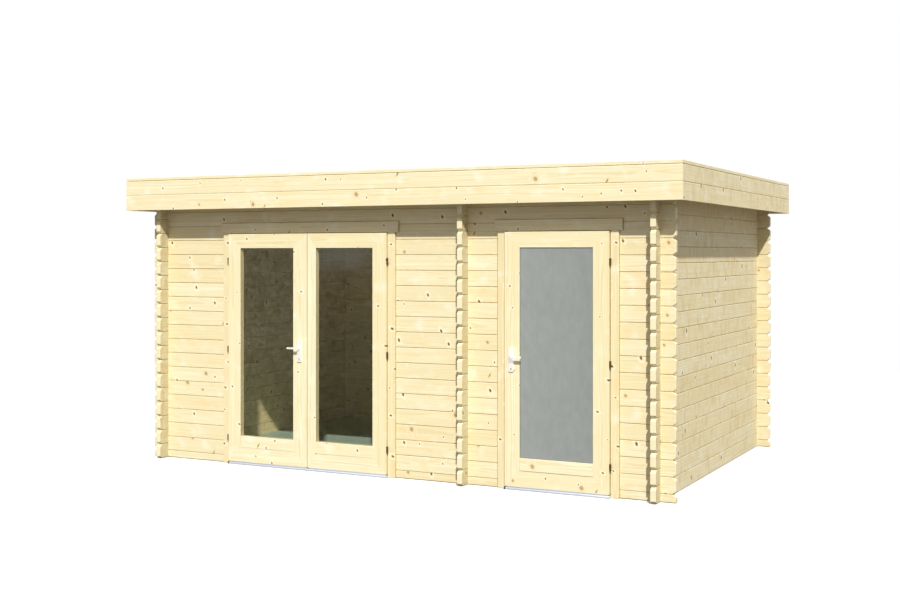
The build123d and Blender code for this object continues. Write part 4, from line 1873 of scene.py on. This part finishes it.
@dataclass
class Handle(Assembly):
    """A lever handle: long plates on both faces of the leaf, lever bar and keyholes."""

    leaf: str = "left_leaf"
    lever_body: str = "left_lever"
    keyhole_up_mm: float = 24.0
    keyhole_mm: tuple[float, float, float] = (4.2, 1.9, 12.0)
    liner_mm: tuple[float, float] = (0.4, 2.0)
    round_steps: int = 12
    plate_ease_mm: float = 2.2
    lever_ease_mm: float = 2.8
    ease_steps: int = 3
    shortest_mm: float = 2.0
    smooth_deg: float = 35.0

    def build(self, metal: Material, steel: Material) -> None:
        """Rounds the plates and the lever, and lets in the keyholes.

        Args:
            metal: the finish of plates and lever.
            steel: the finish of the keyholes' liners.
        """
        leaf, slot = self.leaf, "handle_metal"
        fine = (self.ease_steps, self.shortest_mm, self.smooth_deg)
        self.work(f"{leaf}_plates", f"{leaf}_handle_plates", metal, slot, self.plate_ease_mm, *fine)
        self.place(f"{leaf}_keyhole_liners", self.keyholes(), steel, "dark_hinge_steel", (), ROUND_DEG)
        rider = Assembly(self.lever_body, self.timber)
        rider.work(f"{leaf}_lever_bar", f"{leaf}_lever", metal, slot, self.lever_ease_mm, *fine)

    def keyholes(self) -> BMesh:
        """Draws a keyhole liner in the lower end of each plate.

        Returns:
            Both liners.
        """
        low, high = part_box(f"{self.leaf}_handle_plates")
        radius, half_slot, slot = (size * MM for size in self.keyhole_mm)
        x, z = (low.x + high.x) / 2, low.z + self.keyhole_up_mm * MM
        leave = math.asin(half_slot / radius)
        sweep = 2 * math.pi - 2 * leave
        turns = [leave + sweep * i / self.round_steps for i in range(self.round_steps + 1)]
        outline = [(x - radius * math.sin(t), z - radius * math.cos(t)) for t in turns]
        outline += [(x + half_slot, z - slot), (x - half_slot, z - slot)]
        proud, deep = (size * MM for size in self.liner_mm)
        ends = ((low.y - proud, low.y + deep), (high.y - deep, high.y + proud))
        return gather([bar(start, end, outline, 1) for start, end in ends])


@dataclass
class Studio:
    """Pale floor, one white key lamp, white surroundings and the camera."""

    camera_at: tuple[float, float, float] = (4.664, -9.594, 1.666)
    camera_way: tuple[float, float, float] = (-0.454, 0.891, 0.0)
    lens_mm: float = 50.6
    sensor_mm: float = 36.0
    sight: float = 200.0
    shift: tuple[float, float] = (0.0044, -0.0519)
    to_key: tuple[float, float, float] = (0.594, -1.0, 1.053)
    key_strength: float = 4.2
    key_angle_deg: float = 1.2
    fill: float = 0.39
    dome: tuple[float, float] = (0.62, 1.42)
    mirrored: float = 2.5
    yard_m: float = 10.0
    leaf_mm: float = 20.0
    trunk_mm: float = 238.095
    floor_reach: float = 9.0
    floor_sides: int = 96
    floor_cloud_mm: float = 2500.0
    floor_drop_mm: float = 1.0

    def build(self) -> None:
        """Sets the floor, the light and the camera."""
        scene = bpy.context.scene
        scene.view_settings.view_transform = "Standard"
        self.floor(scene)
        self.light(scene)
        lens = bpy.data.cameras.new("camera")
        lens.lens, lens.sensor_width = self.lens_mm, self.sensor_mm
        lens.shift_x, lens.shift_y = self.shift
        lens.clip_end = self.sight
        camera = bpy.data.objects.new("camera", lens)
        camera.location = self.camera_at
        camera.rotation_euler = Vector(self.camera_way).to_track_quat("-Z", "Y").to_euler()
        scene.collection.objects.link(camera)
        scene.camera = camera

    def floor(self, scene: Scene) -> None:
        """Lays a round pale floor just under the room.

        Args:
            scene: the scene.
        """
        mesh = bmesh.new()
        bmesh.ops.create_circle(mesh, cap_ends=True, segments=self.floor_sides, radius=self.floor_reach)
        data = bpy.data.meshes.new("studio_floor")
        mesh.to_mesh(data)
        mesh.free()
        material, shader = new_material("studio_floor_matt")
        tree = material.node_tree
        place = add_node(tree, "TexCoord").outputs["Object"]
        cloud = add_node(tree, "TexNoise", {"Scale": 1 / (self.floor_cloud_mm * MM)}, {"Vector": place})
        shade = add_node(
            tree, "Mix", {"data_type": "RGBA", 6: linear("#F4F4F3"), 7: linear("#F6F6F6")}, {0: cloud}
        )
        join(shader, {"Base Color": shade})
        shader.inputs["Roughness"].default_value = 0.9
        shader.inputs["Specular IOR Level"].default_value = 0.1
        data.materials.append(material)
        floor = bpy.data.objects.new("studio_floor", data)
        floor.location.z = -self.floor_drop_mm * MM
        floor.visible_diffuse = False
        floor.visible_glossy = False
        scene.collection.objects.link(floor)

    def light(self, scene: Scene) -> None:
        """Hangs the key lamp and sets the surroundings.

        Args:
            scene: the scene.
        """
        lamp = bpy.data.lights.new("key", "SUN")
        lamp.energy, lamp.angle = self.key_strength, math.radians(self.key_angle_deg)
        key = bpy.data.objects.new("key", lamp)
        key.rotation_euler = (-Vector(self.to_key)).to_track_quat("-Z", "Y").to_euler()
        scene.collection.objects.link(key)
        world = bpy.data.worlds.new("surroundings")
        world.use_nodes = True
        tree = world.node_tree
        ray = add_node(tree, "LightPath")
        way = add_node(tree, "TexCoord").outputs["Generated"]
        height = add_node(tree, "SeparateXYZ", links={0: way}).outputs["Z"]
        low, high = (share * self.fill for share in self.dome)
        dome = add_node(tree, "MapRange", {1: -0.25, 2: 0.25, 3: low, 4: high}, {"Value": height})
        seen = add_node(tree, "Background", {"Color": (1, 1, 1, 1), "Strength": 1.0})
        cast = add_node(tree, "Background", {"Color": linear("#F6F7FF")}, {"Strength": dome})
        shine = add_node(
            tree, "Background", {"Strength": self.mirrored}, {"Color": self.yard(tree, way)}
        )
        unseen = add_node(tree, "MixShader", links={0: ray.outputs["Is Glossy Ray"], 1: cast, 2: shine})
        both = add_node(tree, "MixShader", links={0: ray.outputs["Is Camera Ray"], 1: unseen, 2: seen})
        join(tree.nodes["World Output"], {"Surface": both})
        scene.world = world

    def yard(self, tree: NodeTree, way: Source) -> Source:
        """Paints what the panes mirror: pale ground, a mottled hedge, a paler one to the left, and sky.

        Args:
            tree: the surroundings' node tree.
            way: the direction looked along.

        Returns:
            The colour seen there.
        """
        side, _, height = add_node(tree, "SeparateXYZ", links={0: way}).outputs
        leaves, trunks = (
            add_node(
                tree, "TexNoise", {"Scale": self.yard_m / (size_mm * MM), **settings}, {"Vector": way}
            )
            for size_mm, settings in (
                (self.leaf_mm, {"Detail": 4.0, "Roughness": 0.65}),
                (self.trunk_mm, {"Detail": 1.0}),
            )
        )
        rise = add_node(tree, "MapRange", {1: -0.13, 2: 0.02}, {"Value": height})
        hedge, near, far = (
            add_node(
                tree,
                "ValToRGB",
                {"ramp": [(place, linear(code)) for place, code in stops]},
                {0: source},
            )
            for source, stops in (
                (leaves, ((0.38, "#5F5732"), (0.5, "#BEB083"), (0.62, "#F4EAD2"))),
                (
                    rise,
                    (
                        (0.0, "#9DA09E"),
                        (0.467, "#B8B8B8"),
                        (0.667, "#D4C6C2"),
                        (0.787, "#E2DAE4"),
                        (0.867, "#E6F0FF"),
                    ),
                ),
                (rise, ((0.0, "#C4C6C4"), (0.2, "#CDCDCD"), (0.467, "#E3E3EA"))),
            )
        )
        aside = add_node(tree, "MapRange", {1: -0.547, 2: -0.555}, {"Value": side})
        lit = add_node(tree, "Mix", {"data_type": "RGBA"}, {0: aside, 6: near, 7: far})
        colour = add_node(
            tree, "Mix", {"data_type": "RGBA", "blend_type": "MULTIPLY", 0: 1.0}, {6: hedge, 7: lit}
        )
        # Over the near hedge's ragged top stands a hazy sky, with trunks before it.
        ragged = add_node(tree, "Math", {"operation": "MULTIPLY_ADD", 1: 0.03}, {0: leaves, 2: height})
        haze = add_node(tree, "MapRange", {1: 0.0, 2: 0.008}, {"Value": ragged})
        clear = add_node(tree, "MapRange", {1: 0.42, 2: 0.56, 3: 0.35, 4: 1.0}, {"Value": trunks})
        open_air = add_node(tree, "Math", {"operation": "MULTIPLY"}, {0: haze, 1: clear})
        on_near = add_node(tree, "Math", {"operation": "SUBTRACT", 0: 1.0}, {1: aside})
        hazy = add_node(tree, "Math", {"operation": "MULTIPLY"}, {0: open_air, 1: on_near})
        above = add_node(tree, "MapRange", {1: 0.1, 2: 0.3}, {"Value": height})
        below = add_node(tree, "MapRange", {1: -0.14, 2: -0.25}, {"Value": height})
        for mark, tint in ((hazy, "#C0BAAC"), (above, "#B4B7BC"), (below, "#A5A4A0")):
            colour = add_node(tree, "Mix", {"data_type": "RGBA", 7: linear(tint)}, {0: mark, 6: colour})
        return colour


def main() -> None:
    """Builds the room from the walls to the handles, then the studio."""
    logging.basicConfig(level=logging.INFO, format="%(message)s")
    FRAME.update(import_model())
    timber = Timber(random.Random(SEED))
    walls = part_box("right_wall_logs")[1].x + FREE_END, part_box("back_wall_logs")[1].y + FREE_END
    woods = (LOG_SPRUCE, BOARD_SPRUCE, DOOR_SPRUCE, SAWN_SPRUCE, JAMB_SPRUCE)
    log_wood, board_wood, door_wood, sawn_wood, jamb_wood = (wood.material(walls) for wood in woods)
    low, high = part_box("single_leaf_glass")
    panes = {
        Glazing.CLEAR: CLEAR_GLASS.material(),
        Glazing.FROSTED: FROSTED_GLASS.material((low.x, high.x)),
    }
    steel, bright, sill = HINGE_STEEL.material(), HANDLE_METAL.material(), SILL_METAL.material()
    rubber = SEAL_RUBBER.material()
    LogWalls("cabin", timber).build(log_wood, sawn_wood)
    Roof("cabin", timber).build(board_wood, sawn_wood, ROOF_FELT.material())
    Floor("cabin", timber).build(FLOOR_PANEL.material())
    Doorways("cabin", timber).build(board_wood, jamb_wood, sill, steel, rubber)
    leaves = (
        DoorLeaf("left_leaf", timber, leaf="left_leaf", right_stile_mm=124.0),
        DoorLeaf("right_leaf", timber, leaf="right_leaf", left_stile_mm=74.0),
        DoorLeaf("single_leaf", timber, leaf="single_leaf", glazing=Glazing.FROSTED, panel_gap_mm=3.4),
    )
    for leaf in leaves:
        leaf.build(door_wood, panes[leaf.glazing], steel, sill, rubber)
    Handle("left_leaf", timber, leaf="left_leaf", lever_body="left_lever").build(bright, steel)
    Handle("single_leaf", timber, leaf="single_leaf", lever_body="single_lever").build(bright, steel)
    Studio().build()


if __name__ == "__main__":
    main()
